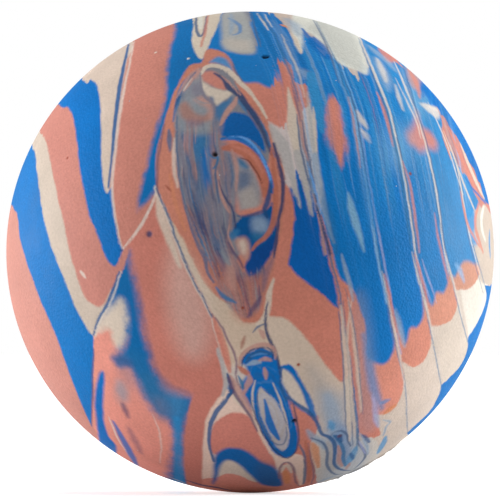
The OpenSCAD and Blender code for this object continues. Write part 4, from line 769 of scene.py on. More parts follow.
# Patches of a tint: tint, soft edge, strength, ring
PATCHES = [
    # The big swirl, from its filling inwards
    ("brick", 40, 0.75, (-150, -20, -80, -80, -20, -100, 60, -100, 40, -200, 0, -280, -60, -260, -60, -200,
        -120, -150, -160, -80)),
    ("steel", 35, 0.95, (-255, 490, -165, 490, -160, 420, -172, 350, -165, 280, -180, 250, -195, 300,
        -205, 360, -235, 400)),
    ("blue", 18, 0.85, (-195, 420, -172, 425, -170, 350, -168, 300, -180, 270, -192, 300, -198, 350)),
    ("plum", 30, 0.75, (-235, 160, -205, 150, -180, 90, -185, 60, -205, 70, -225, 110)),
    ("fog", 25, 0.9, (-268, 690, -212, 722, -192, 680, -170, 625, -160, 500, -290, 500, -300, 600,
        -275, 640)),
    ("ash", 25, 0.85, (-245, 690, -205, 700, -195, 660, -215, 640, -240, 655)),
    ("tan", 16, 0.9, (-294, 600, -270, 622, -250, 605, -225, 575, -195, 566, -168, 575, -166, 548, -205, 535,
        -250, 540, -285, 560)),
    ("rose", 18, 0.9, (-228, 632, -195, 645, -165, 622, -152, 590, -158, 552, -174, 560, -172, 592,
        -200, 612)),
    ("mauve", 20, 0.6, (-262, 545, -215, 548, -200, 525, -250, 515)),
    ("salmon", 14, 0.9, (-195, 740, -160, 748, -125, 725, -105, 700, -100, 672, -130, 672, -165, 690,
        -195, 710)),
    ("cream", 10, 0.95, (-205, 725, -196, 705, -180, 695, -150, 678, -110, 668, -78, 665, -82, 645,
        -105, 632, -128, 606, -145, 612, -152, 640, -175, 648, -192, 668, -202, 690)),
    ("steel", 12, 0.9, (-140, 600, -118, 618, -95, 628, -78, 645, -80, 620, -98, 595, -116, 565, -126, 545,
        -138, 560, -142, 580)),
    ("sky", 12, 0.9, (-165, 785, -135, 808, -100, 800, -80, 770, -70, 745, -82, 748, -105, 770, -140, 782)),
    ("ash", 20, 0.85, (-125, 450, -100, 455, -85, 420, -62, 400, -60, 300, -65, 200, -70, 140, -95, 160,
        -120, 250, -135, 350)),
    ("fog", 20, 0.9, (-60, 390, -20, 380, 10, 350, 35, 300, 50, 250, 45, 200, 20, 175, -30, 165, -50, 200,
        -65, 280)),
    ("teal", 14, 0.85, (-52, 385, -30, 382, -8, 355, -20, 345, -45, 360)),
    ("slate", 20, 0.75, (-45, 330, -10, 335, 0, 300, -10, 265, -40, 255, -52, 290)),
    ("cream", 18, 0.3, (-40, 250, -15, 268, 12, 262, 30, 225, 40, 200, 20, 180, -20, 172, -35, 195)),
    ("salmon", 10, 0.9, (-34, 172, 0, 182, 30, 184, 52, 196, 50, 180, 20, 164, -5, 155, -28, 158)),
    ("marine", 10, 0.9, (5, 0, 40, 20, 85, 60, 105, 60, 92, 0, 60, -50, 20, -90, -5, -95, -20, -60,
        -10, -30)),
    ("haze", 22, 0.75, (5, 130, 30, 150, 60, 142, 78, 115, 70, 85, 40, 75, 12, 90)),
    ("teal", 20, 0.8, (10, 78, 45, 78, 60, 60, 40, 45, 15, 50)),
    ("rose", 12, 0.9, (-62, 50, -40, 62, -15, 60, 0, 30, -2, -10, -12, -32, -30, -25, -48, 5)),
    ("cream", 14, 0.8, (-45, 40, -28, 50, -16, 30, -18, 0, -28, -5, -38, 15)),
    ("steel", 12, 0.9, (-85, 80, -60, 95, -45, 90, -50, 65, -70, 50, -85, 60)),
    # Elsewhere
    ("steel", 30, 0.6, (-430, -500, -350, -530, -330, -600, -420, -610, -450, -560)),
    ("pale_grey", 18, 0.95, (-118, 975, -118, 900, -112, 845, -60, 826, 0, 820, 22, 830, 12, 880, 0, 935,
        -18, 985, -60, 1000)),
    ("cream", 30, 0.5, (-100, 880, -95, 845, -50, 832, 5, 830, 0, 870, -40, 880)),
    ("salmon", 12, 0.85, (530, 845, 545, 815, 570, 785, 595, 785, 620, 790, 600, 815, 560, 850)),
    ("haze", 40, 0.45, (305, -740, 360, -730, 450, -760, 490, -800, 470, -880, 400, -920, 320, -940,
        280, -960, 310, -860)),
    ("teal", 60, 0.45, (-500, -420, -440, -440, -380, -560, -300, -590, -270, -640, -320, -680, -400, -640,
        -460, -560)),
    ("sea", 50, 0.5, (-330, -590, -280, -590, -265, -640, -290, -690, -325, -670)),
    ("ash", 45, 0.45, (-400, -610, -360, -610, -335, -660, -350, -700, -390, -670)),
    ("ash", 40, 0.4, (-560, -420, -520, -430, -480, -520, -500, -560, -545, -500)),
    ("fog", 30, 0.35, (-560, -560, -520, -540, -500, -590, -520, -640, -555, -610)),
    # The left salmon lobe's tint, with its painted shade
    ("#BD7668", 7, 1.0, (-240, -600, -205, -565, -160, -520, -112, -470, -100, -500, -98, -560, -106, -580,
        -130, -602, -165, -650, -182, -690, -191, -750, -195, -810, -198, -900, -205, -972, -262, -958,
        -270, -850, -262, -700)),
    ("fog", 50, 0.45, (240, -470, 330, -540, 340, -700, 290, -640, 250, -560)),
    ("haze", 30, 0.7, (510, 800, 540, 790, 565, 750, 585, 700, 570, 670, 550, 700, 530, 740)),
    ("rose", 20, 0.8, (645, 750, 660, 770, 700, 725, 700, 690, 680, 670, 660, 700)),
    ("pale", 14, 0.85, (700, 615, 730, 605, 770, 600, 785, 570, 775, 550, 750, 570, 730, 585)),
    ("sky", 18, 0.9, (880, 210, 900, 180, 925, 170, 932, 120, 925, 80, 940, 40, 920, 30, 905, 60,
        890, 120)),
    ("salmon", 30, 0.9, (650, 490, 672, 520, 690, 585, 700, 540, 715, 515, 745, 495, 770, 455, 765, 425,
        735, 430, 705, 415, 680, 435, 655, 455)),
    ("frost", 80, 0.3, (530, 440, 570, 520, 640, 520, 680, 440, 660, 370, 600, 340, 550, 370)),
    ("frost", 50, 0.25, (640, 640, 690, 680, 740, 620, 720, 560, 670, 570)),
    ("blue", 12, 0.9, (235, 872, 262, 892, 300, 864, 338, 818, 330, 796, 300, 806, 258, 840)),
    ("crown_cream", 12, 0.9, (172, 930, 182, 870, 206, 826, 217, 850, 218, 908, 250, 905, 285, 878, 325, 845,
        345, 806, 385, 772, 440, 752, 486, 735, 476, 800, 452, 885, 440, 950, 300, 1020, 190, 1000)),
    ("crown_grey", 30, 0.6, (235, 925, 290, 885, 345, 815, 390, 780, 470, 745, 465, 800, 440, 880, 400, 920,
        300, 960)),
    # Painted highlight: a soft pale glare on the salmon left of the middle of the ball
    ("pale", 70, 0.36, (-315, 20, -230, -60, -170, -200, -160, -350, -215, -440, -290, -400, -335, -250,
        -345, -90)),
    ("cream", 8, 0.95, (132, -482, 170, -505, 205, -560, 232, -630, 240, -662, 205, -640, 160, -590,
        134, -540)),
    ("cream", 10, 0.9, (-105, -470, -30, -462, -12, -500, -40, -560, -20, -625, -55, -625, -92, -550)),
    ("haze", 60, 0.55, (290, -580, 400, -600, 410, -740, 360, -780, 290, -700)),
    ("dusty_blue", 30, 0.6, (330, -700, 400, -720, 420, -840, 380, -880, 340, -800)),
    ("deep", 30, 0.55, (30, -870, 90, -880, 130, -930, 100, -965, 40, -940)),
    ("smoke", 40, 0.35, (430, -200, 480, -200, 520, -550, 520, -720, 450, -720, 440, -450)),
]

# Pits and nubs of the skin: tint, size, depth in metres, place; and how far the edge of one reaches
PITS = [
    ("black", 12, 0.00024, (60, 808)),
    ("black", 10, 0.00018, (70, 809)),
    ("black", 12, 0.00020, (-145, 405)),
    ("black", 12, 0.00020, (183, -698)),
    ("plum", 15, 0.00008, (-417, 75)),
    ("navy", 7, 0.00005, (-530, 10)),
    ("rust", 7, 0.00004, (-30, -230)),
    ("rust", 8, 0.00005, (662, 325)),
    ("rust", 7, 0.00004, (-755, 390)),
    ("rust", 8, 0.00005, (200, -465)),
    ("plum", 13, 0.00004, (370, -760)),
    ("pale", 7, -0.00003, (-390, 825)),
    ("pale", 7, -0.00003, (-255, 800)),
]
PIT_EDGE = 1.35

# The same for the back, which the photograph doesn't show: places are seen through the ball
BACK_SMEARS = [
    ("haze", 13.0, 1.2, 131, 0.68, 0.30),
    ("pale", 19.0, 1.5, 133, 0.72, 0.30),
    ("deep", 16.0, 1.2, 135, 0.74, 0.25),
]
MARBLED_BEHIND = [
    (
        (-560, 560, -300, 500, 0, 400, 300, 290, 560, 160, 300, 190, 0, 260, -300, 370),
        30, (-0.02, 0.35), (0.62, 0.15), -0.34, 2.2, 0.5, 141,
        ("salmon", "cream", "blue", "cream", "salmon", "smoke"), 0.85,
    ),
    (
        (-700, -160, -450, -180, -200, -290, 0, -420, -180, -460, -420, -390, -620, -290),
        40, (-0.36, -0.31), (0.4, 0.11), -0.42, 1.6, 0.5, 149,
        ("salmon", "orange", "cream", "smoke", "salmon", "blue"), 0.7,
    ),
]
STROKES_BEHIND = [
    ("cream", (4, 14, 16, 6), 10, 0.8, (820, 250, 600, 330, 350, 420, 50, 500, -300, 580)),
    ("deep", (4, 10, 12, 6), 8, 0.8, (780, 220, 560, 300, 330, 385, 60, 465, -260, 545)),
    ("deep", (4, 12, 12, 4), 8, 0.8, (700, -220, 450, -140, 150, -40, -200, 60, -550, 160)),
    ("pale", (3, 10, 10, 4), 8, 0.7, (660, -240, 420, -165, 130, -65, -220, 35, -520, 130)),
    ("salmon", (4, 18, 20, 6), 14, 0.7, (500, 20, 250, 90, -50, 170, -350, 250)),
    ("blue", (4, 20, 26, 8), 16, 0.8, (300, -560, 150, -500, -30, -430, -200, -370)),
    ("cream", (4, 12, 14, 4), 12, 0.75, (250, -640, 80, -580, -120, -510, -300, -440)),
    ("plum", (4, 12, 12, 4), 12, 0.6, (500, 560, 350, 620, 150, 690, -60, 750)),
]

# The lamps: name, place, size and power
LAMPS = [
    ("left_softbox", (-0.36, 0.13, 0.03), (0.20, 0.12), 1.36),
    ("right_softbox", (0.36, 0.11, 0.04), (0.20, 0.12), 1.72),
    ("top_softbox", (0.0, -0.04, 0.40), (0.30, 0.30), 1.05),
    ("low_left_fill", (-0.30, -0.07, -0.011), (0.20, 0.024), 0.30),
]
# The room's light on the ball
ROOM_LIGHT = 0.28
# The floor, in metres: half its width, and from where to where its glow for the camera grows to white
FLOOR_HALF = 1.6
FLOOR_GLOW = 0.55
GLOW_FROM = 0.04
GLOW_TO = 0.5
PAPER = 0.92
FILM_WIDE = 36.0

# The skin of the rubber: the scales of its speckle, clouds and pebbles, and its relief in metres
SPECKLE_SCALE = 3200.0
CLOUD_SCALE = 420.0
PEBBLE_SCALE = 3600.0
RELIEF = 0.00005
ROUGHNESS = 0.62
ROUGHNESS_CHANGE = 0.05
MOTTLES = {"blue": 0.07, "salmon": 0.08, "cream": 0.06, "grey": 0.07}
CLOUDINESS = 0.03
SPECKLE_HEIGHT = 0.6
# The middle values of a noise, which are spread to its low and high end
NOISE_LOW = 0.3
NOISE_HIGH = 0.7

# The rubber of the fin of flash
FLASH_RUBBER = "cream"
# The fin: where it starts and ends from +X, in degrees, how far it stands out, and its steps
FLASH_FROM = -74.0
FLASH_TO = -52.0
FLASH_PROUD = 0.00035
FLASH_STEPS = 160
# How it is torn: the size and seed of the fine and the coarse noise, and how much of it is left at least
FINE_TEAR = (0.012, 5)
COARSE_TEAR = (0.04, 6)
TEAR_LEAST = 0.25
TEAR_BASE = 0.6
# Its section: how far out as a share of its rise, or into the ball if negative, and half its thickness
FLASH_SECTION = ((-0.012, 0.0003), (0.0, 0.00026), (0.7, 0.00014), (1.0, 0.00005))

# How much finer and quicker the fine noise of smears is, how much coarse noise they have, and how fast they
# fade in
PULLED_NOISE = (3.1, 2.0, 0.65, 0.14)
DRAWN_NOISE = (3.1, 2.5, 0.6, 0.12)
BACK_NOISE = (3.0, 2.0, 0.7, 0.12)
# The shades of the pulled field and of the back: how fine across and how quick along, seed, how much finer
# and quicker their fine noise is, how much coarse noise they have; and how strong they are
PULLED_SHADE = (9, 1.1, 61, 31 / 9, 2, 0.6)
PULLED_CONTRAST = 0.5
BACK_SHADE = (24, 1.3, 122, 70 / 24, 2, 0.6)
BACK_CONTRAST = 0.34
# How the pulled field moves: how fine across its lanes, how quick along them, how far, seed
PULLS = ((5, 1.4, 0.10, 51), (17, 3, 0.09, 52))
# Where it starts at its first lane, ends at the rim and grows upwards, each from where and how fast, and how
# much of it is left at the bottom
FIELD_START = (-0.02, 2)
FIELD_END = (1.04, -8)
FIELD_GROWTH = (0.05, 3.5)
FIELD_LEAST = 0.06
# How much it streaks a strip that isn't blue, how fast that grows with blue, and how its dark lines break
STREAKS_LEAST = 0.15
STREAKS_RATE = 4
LINES_LEAST = 0.45
LINES_BREAK = (4, 71)
# Over what height a lane's lean is measured, and the least width of a lane
LEAN_STEP = 0.05
LEAST_LANE = 0.01
# How rings of marbling bend, coarse then fine: how fine across and up, how much; and how fast tints change
RING_BENDS = ((2.2, 2.2, 1.0), (6, 4, 0.45))
RING_CHANGE = 1.6
# The bands behind: how they lean and wave, the size and seed of the waves, and where and how fast they start
BAND_LEAN = 0.30
BAND_WAVE = 0.05
BAND_WAVES = (0.5, 121)
BAND_START = (0.025, 4)

# Rows of the skin's mesh, in steps, and how far its free points keep from lines and from the rim
ROW_GAP = 0.866
LINE_GAP = 0.62
RIM_GAP = 0.6
# The flat layout, in radii: how far from its middle the limb lies, and half the sheet that holds it all
FLAT_LIMB = math.sqrt(2.0)
HALF_SHEET = 2
# The least distance of two points of an outline, and of two places in the mesh; how near to the limb a
# point counts as on it; the nearest gap looked for round an outline; a number that keeps a division from 0
LEAST_GAP = 1e-6
SAME_PLACE = 1e-7
ON_LIMB = 1e-5
LEAST_SEEK = 0.01
TINY = 1e-12


def linear(tint):
    """A tint of the palette, or a display colour, as three linear numbers."""
    code = PALETTE.get(tint, tint)
    parts = [int(code[i : i + 2], 16) / 255 for i in (1, 3, 5)]
    return np.array([c / 12.92 if c <= 0.04045 else ((c + 0.055) / 1.055) ** 2.4 for c in parts])


def unpack(numbers):
    """A run of numbers of the tables as places, in shares right and up of the ball's middle."""
    return np.reshape(numbers, (-1, 2)) / 1000


def on_ball(places):
    """Places of the photograph, in shares right and up of its middle, as points of a ball of radius 1.
    Past the silhouette a place goes on round the ball, at the same rate, onto its back."""
    places = np.asarray(places, float)
    wide = places[:, 0] * SHARE_PX / BALL_HALF_WIDE_PX
    high = places[:, 1] * SHARE_PX / BALL_HALF_HIGH_PX
    reach = np.hypot(wide, high)
    behind = reach > 1
    keep = np.where(behind, np.maximum(2 - reach, 0) / np.maximum(reach, TINY), 1.0)
    across, up = places.T * keep * SHARE_SLOPE
    ray = np.stack([across, np.ones(len(places)), up], 1)
    ray /= BALL_AXES
    start = np.array([0.0, -CAMERA_BACK / BALL_HALF_DEEP, 0.0])
    a = (ray**2).sum(1)
    b = ray @ start
    c = start @ start - 1
    along = (-b - np.sqrt(np.maximum(b * b - a * c, 0))) / a
    points = start + ray * along[:, None]
    limb = LIMB_Y / BALL_HALF_DEEP
    points[behind, 1] = 2 * limb - points[behind, 1]
    return points / np.linalg.norm(points, axis=1)[:, None]


def shares(points):
    """The other way: where points of the ball show in the photograph, and on round the limb behind it."""
    points = points.copy()
    limb = LIMB_Y / BALL_HALF_DEEP
    behind = points[:, 1] > limb
    points[behind, 1] = 2 * limb - points[behind, 1]
    world = points * BALL_AXES
    place = world[:, [0, 2]] / (CAMERA_BACK + world[:, 1])[:, None] / SHARE_SLOPE
    reach = np.hypot(place[:, 0] * SHARE_PX / BALL_HALF_WIDE_PX, place[:, 1] * SHARE_PX / BALL_HALF_HIGH_PX)
    place[behind] *= ((2 - reach[behind]) / np.maximum(reach[behind], 0.02))[:, None]
    return place


def behind_ball(places):
    """The same for the back, seen through the ball: shares right and up of its middle."""
    points = on_ball(places)
    points[:, 1] *= -1
    return points


def bend(knots, closed):
    """A smooth run of points through the knots; a knot written twice is a corner."""
    knots = np.asarray(knots, float)
    n = len(knots)
    run = []
    for i in range(n if closed else n - 1):
        if closed:
            a, b, c, d = (knots[(i + k) % n] for k in (-1, 0, 1, 2))
        else:
            a, b, c, d = (knots[min(max(i + k, 0), n - 1)] for k in (-1, 0, 1, 2))
        if np.array_equal(b, c):
            continue
        t = np.arange(CURVE_STEPS)[:, None] / CURVE_STEPS
        bowed = (2 * a - 5 * b + 4 * c - d) * t**2
        twisted = (3 * b - a - 3 * c + d) * t**3
        run.append((2 * b + (c - a) * t + bowed + twisted) / 2)
    if not closed:
        run.append(knots[-1:])
    return np.concatenate(run)


def flat(points, side):
    """Points of the ball laid out flat, areas kept, round the middle of its front (-1) or back (1)."""
    away = np.clip(points[:, 1] * side, -1, 1)
    reach = np.sqrt(np.maximum(2 - 2 * away, 0))
    across = np.maximum(np.hypot(points[:, 0], points[:, 2]), TINY)
    return np.stack([points[:, 0] / across * reach, points[:, 2] / across * reach], 1)


def folded(plane, side):
    """The way back from the flat layout to the ball."""
    reach = np.hypot(plane[:, 0], plane[:, 1])
    away = 1 - reach**2 / 2
    across = np.sqrt(np.maximum(1 - away**2, 0)) / np.maximum(reach, TINY)
    return np.stack([plane[:, 0] * across, away * side, plane[:, 1] * across], 1)


def inside(plane, ring):
    """Which points of the plane lie in a closed ring."""
    found = np.zeros(len(plane), bool)
    low, high = ring.min(0), ring.max(0)
    near = np.nonzero(((plane >= low) & (plane <= high)).all(1))[0]
    if not len(near):
        return found
    x, y = plane[near, 0], plane[near, 1]
    odd = np.zeros(len(near), bool)
    for (x0, y0), (x1, y1) in zip(ring, np.roll(ring, -1, 0)):
        if y0 == y1:
            continue
        crossed = (y0 > y) != (y1 > y)
        odd ^= crossed & (x < (x1 - x0) * (y - y0) / (y1 - y0) + x0)
    found[near] = odd
    return found


def away_from(points, path, far):
    """How far points lie from a run of points on the ball, up to far, and where along it the nearest is."""
    gap = np.full(len(points), far, np.float32)
    along = np.zeros(len(points), np.float32)
    low, high = path.min(0) - far, path.max(0) + far
    near = np.nonzero(((points >= low) & (points <= high)).all(1))[0]
    if not len(near):
        return gap, along
    spot = points[near]
    best = np.full(len(near), far * far, np.float32)
    share = np.zeros(len(near), np.float32)
    count = len(path) - 1
    for i in range(count):
        a, b = path[i], path[i + 1]
        low, high = np.minimum(a, b) - far, np.maximum(a, b) + far
        close = np.nonzero(((spot >= low) & (spot <= high)).all(1))[0]
        if not len(close):
            continue
        edge = b - a
        size = edge @ edge
        rel = spot[close] - a
        t = np.clip(rel @ edge / max(size, TINY), 0, 1)
        miss = ((rel - t[:, None] * edge) ** 2).sum(1)
        won = miss < best[close]
        best[close[won]] = miss[won]
        share[close[won]] = (i + t[won]) / count
    gap[near] = np.sqrt(best)
    along[near] = share
    return gap, along


def grain(points, size, seed):
    """Smooth random values from 0 to 1, with lumps of the given size."""
    box = np.random.default_rng(seed).random((GRAIN_CELLS,) * 3).astype(np.float32)
    box = np.pad(box, (0, 1), mode="wrap")
    cell = np.asarray(points) / size
    low = np.floor(cell).astype(int)
    t = (cell - low).astype(np.float32)
    t = t * t * (3 - 2 * t)
    low %= GRAIN_CELLS
    value = np.zeros(len(cell), np.float32)
    for dx in (0, 1):
        for dy in (0, 1):
            for dz in (0, 1):
                weight = np.abs(1 - dx - t[:, 0]) * np.abs(1 - dy - t[:, 1]) * np.abs(1 - dz - t[:, 2])
                value += weight * box[low[:, 0] + dx, low[:, 1] + dy, low[:, 2] + dz]
    return value


def clouds(across, along, seed):
    """Smooth random values from 0 to 1 in a plane, with lumps one unit across."""
    return grain(np.stack([across, along, np.full(len(across), CLOUD_LEVEL)], 1), 1.0, seed)


def drawn_clouds(across, along, fine, long, seed, finer, quicker, coarse):
    """Coarse noise drawn out along a field, with a finer one over it."""
    noise = clouds(across * fine, along * long, seed) * coarse
    return noise + clouds(across * fine * finer, along * long * quicker, seed + 1) * (1 - coarse)


def shaken(points, size, amount, seed):
    """Points moved a little in a random way that is smooth over the given size."""
    moves = np.stack([grain(points, size, seed + k) for k in range(3)], 1)
    return points + (moves - 0.5) * 2 * amount


def soft_step(value):
    """A step from 0 to 1 that starts and ends softly."""
    value = np.clip(value, 0, 1)
    return value * value * (3 - 2 * value)


def fade(value, start, rate):
    """A soft step that rises from a start at a rate; with a rate below 0 it falls, and ends there."""
    return soft_step((value - start) * rate)


def rings_of(name):
    """The outlines of a strip as rings of points on the ball: those of the front, then those of the back."""
    front, back = STRIPS[name][3:]
    return [
        [on_ball(bend(unpack(ring), True)) for ring in front],
        [behind_ball(bend(unpack(ring), True)) for ring in back],
    ]


RINGS = {name: rings_of(name) for name in STRIPS}


def owners(plane, side):
    """The strip that each place of the flat layout belongs to: the first in the list that holds it."""
    owner = np.full(len(plane), -1)
    for i, name in enumerate(RINGS):
        for ring in RINGS[name][0 if side < 0 else 1]:
            owner[(owner < 0) & inside(plane, flat(ring, side))] = i
    owner[owner < 0] = len(RINGS) - 1
    return owner


def triangles(places, edges, kind):
    """Triangles between places of the plane that keep the given edges."""
    made = delaunay_2d_cdt(places.tolist(), edges.tolist(), [], kind, SAME_PLACE, False)
    return np.array([v[:] for v in made[0]]), np.array([f for f in made[2] if len(f) == 3])


def outlines(side, step, count):
    """The limb and every outline of one side in short steps on the flat layout: places, and edges of them."""
    turn = np.arange(count) / count * 2 * math.pi
    places = [np.stack([np.cos(turn), np.sin(turn)], 1) * FLAT_LIMB]
    edges = [np.stack([np.arange(count), np.roll(np.arange(count), -1)], 1)]
    total = count
    for name in RINGS:
        for ring in RINGS[name][0 if side < 0 else 1]:
            ring = flat(ring, side)
            path = []
            for a, b in zip(ring, np.roll(ring, -1, 0)):
                cuts = max(1, int(np.hypot(*(b - a)) / step))
                path.append(a + (b - a) * np.arange(cuts)[:, None] / cuts)
            path = np.concatenate(path)
            path = path[np.append(True, np.hypot(*np.diff(path, axis=0).T) > LEAST_GAP)]
            keep = np.hypot(path[:, 0], path[:, 1]) < FLAT_LIMB + 2 * step
            pairs = np.stack([np.arange(len(path)), np.roll(np.arange(len(path)), -1)], 1)
            edges.append(pairs[keep[pairs].all(1)] + total)
            places.append(path)
            total += len(path)
    return np.concatenate(places), np.concatenate(edges)


def lattice(drawn, step):
    """An even lattice of places on the flat layout, with none close to what is drawn there."""
    cell = LINE_GAP * step
    marks = np.floor((drawn + HALF_SHEET) / cell).astype(int)
    size = int(2 * HALF_SHEET / cell) + 3
    taken = np.zeros((size, size), bool)
    for dx in (-1, 0, 1):
        for dy in (-1, 0, 1):
            taken[np.clip(marks[:, 0] + dx, 0, size - 1), np.clip(marks[:, 1] + dy, 0, size - 1)] = True
    rows = int(2 * FLAT_LIMB / (step * ROW_GAP)) + 2
    columns = int(2 * FLAT_LIMB / step) + 2
    down, across = np.mgrid[0:rows, 0:columns]
    across = (across + 0.5 * (down % 2)) * step - FLAT_LIMB
    down = down * step * ROW_GAP - FLAT_LIMB
    grid = np.stack([across, down], -1).reshape(-1, 2)
    spot = np.floor((grid + HALF_SHEET) / cell).astype(int)
    within_limb = np.hypot(grid[:, 0], grid[:, 1]) < FLAT_LIMB - RIM_GAP * step
    return grid[within_limb & ~taken[spot[:, 0], spot[:, 1]]]


def skin(side, step):
    """One half of the ball's skin, meshed finely and cut along the outlines of its strips: its points and
    faces, the strip that each face belongs to, and which points are on the limb."""
    step = step / BALL_HALF_WIDE
    count = int(2 * math.pi / step)
    drawn, edges = outlines(side, step, count)
    plane, faces = triangles(np.concatenate([drawn, lattice(drawn, step)]), edges, 0)
    middle = plane[faces].mean(1)
    inner = np.hypot(middle[:, 0], middle[:, 1]) < FLAT_LIMB * math.cos(math.pi / count)
    faces = faces[inner]
    owner = owners(middle[inner], side)
    reach = np.hypot(plane[:, 0], plane[:, 1])
    on_limb = reach > FLAT_LIMB - ON_LIMB
    plane[on_limb] *= (FLAT_LIMB / reach[on_limb])[:, None]
    points = folded(plane, side)
    points[on_limb, 1] = 0
    if side > 0:
        faces = faces[:, ::-1]
    return points, faces, owner, on_limb


def close_up(points, faces, owner, on_limb, side):
    """Gives each strip its walls, straight back to the middle plane, and its flat face there.
    Returns all points, the faces of the walls and of the middle plane, and the strip of each."""
    pairs = np.concatenate([faces[:, [0, 1]], faces[:, [1, 2]], faces[:, [2, 0]]])
    holder = np.tile(owner, 3)
    key = np.sort(pairs, 1)
    order = np.lexsort((key[:, 1], key[:, 0]))
    pairs, holder, key = pairs[order], holder[order], key[order]
    same_next = np.append((key[1:] == key[:-1]).all(1), False)
    same_last = np.append(False, same_next[:-1])
    mate = np.full(len(pairs), -1)
    mate[same_next] = holder[np.nonzero(same_next)[0] + 1]
    mate[same_last] = holder[np.nonzero(same_last)[0] - 1]
    border = mate != holder
    pairs, holder = pairs[border], holder[border]
    rim = np.unique(pairs)
    low = np.full(len(points), -1)
    inner_rim = rim[~on_limb[rim]]
    low[inner_rim] = len(points) + np.arange(len(inner_rim))
    low[rim[on_limb[rim]]] = rim[on_limb[rim]]
    floor_points = points[inner_rim] * [1, 0, 1]
    points = np.concatenate([points, floor_points])
    cap_places = points[low[rim]][:, [0, 2]]
    back = np.full(len(points), -1)
    back[rim] = np.arange(len(rim))
    cap_edges = np.unique(np.sort(back[pairs], 1), axis=0)
    cap_plane, caps = triangles(cap_places, cap_edges, 1)
    nearest = low[rim]
    if len(cap_plane) > len(rim):
        added = cap_plane[len(rim) :]
        nearest = np.append(nearest, len(points) + np.arange(len(added)))
        points = np.concatenate([points, np.stack([added[:, 0], np.zeros(len(added)), added[:, 1]], 1)])
    middle = cap_plane[caps].mean(1)
    lifted = np.stack([middle[:, 0], side * np.sqrt(np.maximum(1 - (middle**2).sum(1), 0)), middle[:, 1]], 1)
    cap_owner = owners(flat(lifted, side), side)
    caps = nearest[caps]
    if side > 0:
        caps = caps[:, ::-1]
    a, b = pairs[:, 0], pairs[:, 1]
    walls = np.concatenate([np.stack([b, a, low[a]], 1), np.stack([b, low[a], low[b]], 1)])
    wall_owner = np.tile(holder, 2)
    flat_wall = (walls[:, 0] == walls[:, 1]) | (walls[:, 1] == walls[:, 2]) | (walls[:, 0] == walls[:, 2])
    walls, wall_owner = walls[~flat_wall], wall_owner[~flat_wall]
    return points, np.concatenate([walls, caps]), np.concatenate([wall_owner, cap_owner])


def base_coat(points, side):
    """The colour of each strip, laid over each other from the last to the first with soft edges."""
    plane = flat(points, side)
    breaks = grain(points, *SEAM_BREAKS)
    spray = FINE_SHARE * grain(points, *FINE_FUZZ) + grain(points, *COARSE_FUZZ) - (1 + FINE_SHARE) / 2
    spray = spray * FUZZ
    colour = np.tile(linear(STRIPS["salmon_rim_strip"][1]), (len(points), 1))
    for name in reversed(RINGS):
        _, tint, soft, *_ = STRIPS[name]
        soft = soft / 1000
        for ring in RINGS[name][0 if side < 0 else 1]:
            gap, _ = away_from(points, np.concatenate([ring, ring[:1]]), max(soft, LEAST_SEEK))
            held = inside(plane, flat(ring, side))
            ragged = spray * np.maximum(1 - gap / soft, 0) if soft > RAGGED_FROM else 0
            cover = soft_step(0.5 + np.where(held, gap, -gap) / (2 * soft) + ragged)[:, None]
            colour += cover * (linear(tint) - colour)
            if side > 0:
                seam = soft_step(SEAM_EDGE - gap / SEAM_HALF_WIDE) * soft_step(breaks * SEAM_CONTRAST - 1)
                mix(colour, SEAM_STRENGTH * seam, "deep")
    return colour


def lanes(place):
    """The pulled field of the right side: for each place the lane it lies in, counted from the swirl to the
    rim, and how fast the lanes lean there."""
    u, v = place[:, 0], place[:, 1]
    lines = []
    leans = []
    for line in LANES:
        across, up = unpack(line)[::-1].T
        lines.append(np.interp(v, up, across))
        leans.append(np.interp(v + LEAN_STEP, up, across) - np.interp(v - LEAN_STEP, up, across))
    lines = np.array(lines)
    leans = np.array(leans) / (2 * LEAN_STEP)
    lane = np.full(len(u), -1.0)
    lean = np.zeros(len(u))
    for k in range(len(LANES) - 1):
        part = (u - lines[k]) / np.maximum(lines[k + 1] - lines[k], LEAST_LANE)
        held = part >= 0
        lane[held] = k + np.minimum(part[held], 1)
        lean[held] = (leans[k] + (leans[k + 1] - leans[k]) * np.minimum(part, 1))[held]
    return lane, lean


def pulled(moved, place, side):
    """Points of the right field moved along their lanes by an amount that changes quickly from lane to lane,
    so that colours there end in feathers. Returns them, their lane and how much each is in the field."""
    lane, lean = lanes(place)
    amount = fade(lane, *FIELD_START) * fade(np.hypot(place[:, 0], place[:, 1]), *FIELD_END)
    amount = amount * (FIELD_LEAST + (1 - FIELD_LEAST) * fade(place[:, 1], *FIELD_GROWTH))
    pull = sum((clouds(lane * fine, place[:, 1] * long, seed) - 0.5) * far for fine, long, far, seed in PULLS)
    pull = pull * amount
    shift = np.stack([pull * lean, pull], 1)
    keep = amount > 0
    moved = moved.copy()
    moved[keep] += on_ball(place[keep] + shift[keep]) - on_ball(place[keep])
    return moved / np.linalg.norm(moved, axis=1)[:, None], lane, amount


def mix(colour, cover, tint):
    """Lays a tint over colours, as far as it covers them."""
    colour += np.reshape(cover, (-1, 1)) * (linear(tint) - colour)


def smear(colour, cover, across, along, smears, noise_mix):
    """Smears of tints over colours, drawn out along a field."""
    *fineness, rise = noise_mix
    for tint, fine, long, seed, level, strength in smears:
        noise = drawn_clouds(across, along, fine, long, seed, *fineness)
        mix(colour, strength * cover * soft_step((noise - level) / rise), tint)


